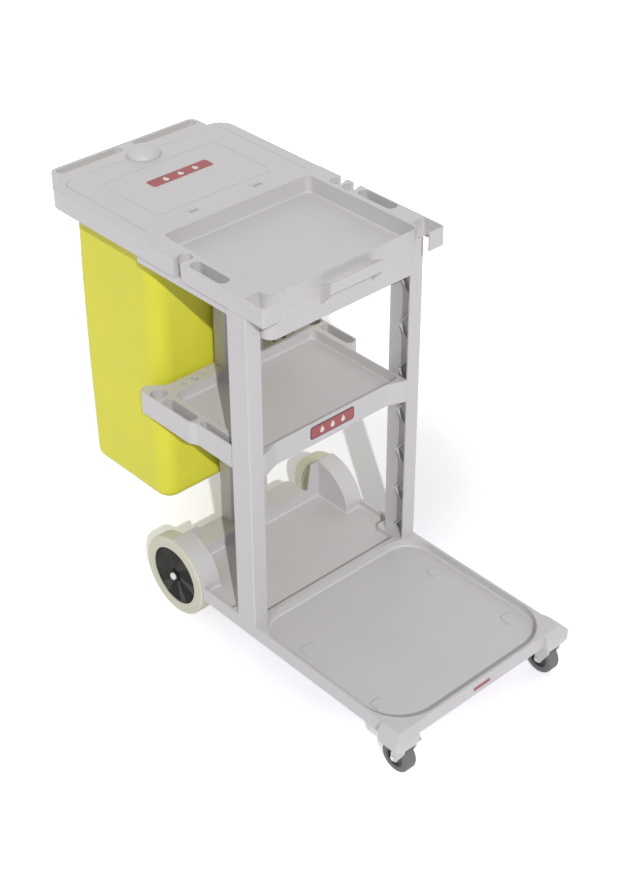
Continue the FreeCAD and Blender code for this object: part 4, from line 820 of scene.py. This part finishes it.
def hub_middle(node):
    """The middle of a hub, looking along the axle."""
    low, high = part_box(node)
    return Vector(((low[0] + high[0]) / 2, 0, (low[2] + high[2]) / 2))


def hub_end(node, side):
    """Where a hub ends across the cart, toward one side."""
    low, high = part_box(node)
    return high[1] if side > 0 else low[1]


def around_axle(shell, middle, radius, angle, y):
    """A point at a radius and an angle around the axle."""
    return shell.verts.new((middle.x + radius * math.cos(angle), y,
                            middle.z + radius * math.sin(angle)))


print("sides", SIDES)

# %% Pinwheel faces
FACE_INNER = 14.0 * MM
FACE_OUTER = 70.5 * MM
FACE_LOW = 2.9 * MM
FACE_RISE = 2.7 * MM
FACE_THICK = 1.0 * MM
FACE_SWEEP = math.radians(22)
FACE_FADE = 2.5
FACE_ROWS = 6
FACE_STEPS = 10
FOLDS = 6
FOLD_CREST = 0.42


def fold_climb(part):
    """How high a fold stands: up to its crest, then down again; part runs from 0 to 1."""
    return part / FOLD_CREST if part < FOLD_CREST else (1 - part) / (1 - FOLD_CREST)


def make_wheel_face(name, node, side, body):
    """A pinwheel of folds in the wheel's dish, on its outer side."""
    middle = hub_middle(node)
    outer = hub_end(node, side)
    shell = bmesh.new()
    around = FOLDS * FACE_STEPS
    rows = []
    for row in range(FACE_ROWS + 1):
        share = row / FACE_ROWS
        radius = FACE_INNER + (FACE_OUTER - FACE_INNER) * share
        turn = side * FACE_SWEEP * (1 - FACE_INNER / radius)
        points = []
        for step in range(around):
            rise = FACE_RISE * fold_climb(step % FACE_STEPS / FACE_STEPS)
            y = outer - side * (FACE_LOW - rise * min(1.0, share * FACE_FADE))
            points.append(around_axle(shell, middle, radius, 2 * math.pi * step / around + turn, y))
        rows.append(points)
    foot_y = outer - side * (FACE_LOW + FACE_THICK)
    for edge_row in (rows[-1], rows[0]):
        rows.append([shell.verts.new((vertex.co.x, foot_y, vertex.co.z)) for vertex in edge_row])
    for number, (inner_row, outer_row) in enumerate(zip(rows, rows[1:] + rows[:1])):
        for step in range(around):
            after = (step + 1) % around
            face = shell.faces.new((inner_row[step], outer_row[step], outer_row[after],
                                    inner_row[after]))
            # The steep side of each fold takes the lighter black, a painted highlight.
            steep = (step % FACE_STEPS + 0.5) / FACE_STEPS < FOLD_CREST
            face.material_index = 1 if steep and number < FACE_ROWS else 0
    return make_piece(name, shell, (black_plastic, painted_light_black), body)


for side, label in SIDES:
    make_wheel_face(label + "_wheel_face", label + "_rear_hub", side, label + "_wheel")
print("wheel faces of", FOLDS, "folds")

# %% [markdown]
# ## Wheel backs
# Behind the black face each big wheel is cream all through. A flat disc would do from
# afar, but a moulded web is dished inside a raised rim. So one closed section is spun
# around the axle in even steps, and covers the hub's inner side.

# %% Cream wheel backs
BACK_STEPS = 96
BACK_SECTION = ((16.4, 0.9), (24.0, 2.0), (60.0, 2.0), (67.0, 0.5), (73.6, 0.3), (73.6, 1.1),
                (67.5, 1.4), (60.5, 2.8), (23.5, 2.8), (16.4, 1.8))


def make_wheel_back(name, node, side, body):
    """A dished ring in the hub's inner side; each section point is (radius, depth) in mm."""
    middle = hub_middle(node)
    inner = hub_end(node, -side)
    shell = bmesh.new()
    rings = []
    for step in range(BACK_STEPS):
        angle = 2 * math.pi * step / BACK_STEPS
        rings.append([around_axle(shell, middle, radius * MM, angle, inner + side * depth * MM)
                      for radius, depth in BACK_SECTION])
    count = len(BACK_SECTION)
    for first, second in zip(rings, rings[1:] + rings[:1]):
        for index in range(count):
            after = (index + 1) % count
            shell.faces.new((first[index], first[after], second[after], second[index]))
    return make_piece(name, shell, (cream_rubber,), body, smooth=True)


for side, label in SIDES:
    make_wheel_back(label + "_wheel_back", label + "_rear_hub", side, label + "_wheel")
print("wheel backs in", BACK_STEPS, "steps")

# %% [markdown]
# ## The bag
# The bag hangs by its hem around a collar under the hood. Its cloth is drawn straight at
# the top, loosens into shallow upright folds, bellies out a little and sags at the
# bottom, where the corners stay round. A cloth simulation could find such a shape, but
# this bag hangs nearly still and smooth, so a lofted shell gives it directly and is the
# same on every run: rings around a rounded rectangle, pushed in and out by the folds.

# %% Rings around the bag
BAG_CLEAR = 2.5 * MM
BAG_ROUND = 40 * MM
BAG_AROUND = 320

bag_middle = Vector(((bag_low[0] + bag_high[0]) / 2, (bag_low[1] + bag_high[1]) / 2))
bag_half_x = (bag_high[0] - bag_low[0]) / 2 - BAG_CLEAR
bag_half_y = (bag_high[1] - bag_low[1]) / 2 - BAG_CLEAR


def ring_points(centre, half_x, half_y, radius, count):
    """Points evenly spaced around a rounded rectangle, with their outward normals."""
    straight_x = half_x - radius
    straight_y = half_y - radius
    quarter = math.pi * radius / 2
    total = 4 * (straight_x + straight_y) + 4 * quarter
    points = []
    for index in range(count):
        left = total * index / count
        for turn in range(4):
            length = 2 * (straight_y if turn % 2 == 0 else straight_x)
            ahead = Vector((math.cos(turn * math.pi / 2), math.sin(turn * math.pi / 2)))
            side = Vector((-ahead.y, ahead.x))
            reach = half_x if turn % 2 == 0 else half_y
            if left <= length:
                spot = ahead * reach + side * (left - length / 2)
                points.append((centre + spot, ahead))
                break
            left -= length
            if left <= quarter:
                angle = turn * math.pi / 2 + left / radius
                normal = Vector((math.cos(angle), math.sin(angle)))
                middle = ahead * (reach - radius) + side * (length / 2)
                points.append((centre + middle + normal * radius, normal))
                break
            left -= quarter
    return points


BAG_RING = ring_points(bag_middle, bag_half_x, bag_half_y, BAG_ROUND, BAG_AROUND)
print("bag ring of", len(BAG_RING), "points")

# %% Folds and belly
BAG_BELLY = 3 * MM
BELLY_POWER = 1.2
FOLD_DEPTH = 1.8 * MM
FOLD_WAVES = (2.1, 1.3)
FOLD_START = Vector((3.1, 0.7, 1.9))
CREASE_WAVES = (5.2, 3.1)
FOLD_SHARES = (0.75, 0.35)
TAUT_SHARE = 0.25
TAUT_POWER = 1.5


def bag_offset(angle_share, drop):
    """How far the cloth stands out: belly and folds; drop runs from 0 at the hem to 1."""
    loose = min(1.0, drop / TAUT_SHARE) ** TAUT_POWER
    belly = BAG_BELLY * math.sin(math.pi * min(drop, 1.0)) ** BELLY_POWER
    around = angle_share * 2 * math.pi
    spots = [Vector((math.cos(around) * wide, math.sin(around) * wide, drop * tall))
             for wide, tall in (FOLD_WAVES, CREASE_WAVES)]
    fold = noise.noise(spots[0] + FOLD_START) * FOLD_SHARES[0]
    crease = noise.noise(spots[1]) * FOLD_SHARES[1]
    return belly * loose + (fold + crease) * FOLD_DEPTH * loose


print("folds", FOLD_DEPTH / MM, "mm deep")

# %% Bag shell
BAG_RINGS = 96
FLOOR_ROUND = 26 * MM
FLOOR_SAG = 3 * MM
FLOOR_RINGS = 16
BASE_RINGS = 8
BASE_CLOSE = 0.98


def bag_row(shell, drop, height, spread=1.0, inset=0.0):
    """One ring of the bag's skin, its folds spread out and its whole drawn in by inset."""
    return [shell.verts.new((*(spot + normal * (bag_offset(index / BAG_AROUND, drop) * spread
                                                - inset)), height))
            for index, (spot, normal) in enumerate(BAG_RING)]


def build_bag():
    """The bag's outer skin as one mesh, open at the top."""
    shell = bmesh.new()
    wall = bag_high[2] - bag_low[2] - FLOOR_ROUND - FLOOR_SAG
    drops = [step / BAG_RINGS for step in range(BAG_RINGS + 1)]
    rows = [bag_row(shell, drop, bag_high[2] - wall * drop) for drop in drops]
    for step in range(1, FLOOR_RINGS + 1):
        angle = math.pi / 2 * step / FLOOR_RINGS
        height = bag_low[2] + FLOOR_ROUND * (1 - math.sin(angle)) + FLOOR_SAG
        rows.append(bag_row(shell, 1.0, height, math.cos(angle),
                            FLOOR_ROUND * (1 - math.cos(angle))))
    edge_row = rows[-1]
    for step in range(1, BASE_RINGS + 1):
        share = step / BASE_RINGS
        sag = FLOOR_SAG * math.sin(math.pi / 2 * share)
        rows.append([shell.verts.new((*Vector(vertex.co[:2]).lerp(bag_middle, share * BASE_CLOSE),
                                      vertex.co[2] - sag)) for vertex in edge_row])
    for upper, lower in zip(rows, rows[1:]):
        for index in range(BAG_AROUND):
            after = (index + 1) % BAG_AROUND
            shell.faces.new((upper[index], lower[index], lower[after], upper[after]))
    shell.faces.new(rows[-1])
    return shell


print("bag of", BAG_RINGS + FLOOR_RINGS + BASE_RINGS, "rings")

# %% Bag in its place
BAG_THICK = 1.2 * MM

bag_mesh = dressed_mesh("hanging_bag", build_bag(), (bag_cloth,), smooth=True)
bag = bpy.data.objects.new("hanging_bag", bag_mesh)
bpy.context.scene.collection.objects.link(bag)
thick = bag.modifiers.new("cloth", "SOLIDIFY")
thick.thickness = BAG_THICK
thick.offset = -1
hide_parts("bag")
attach(bag, "chassis")
print("bag", len(bag_mesh.vertices), "points")
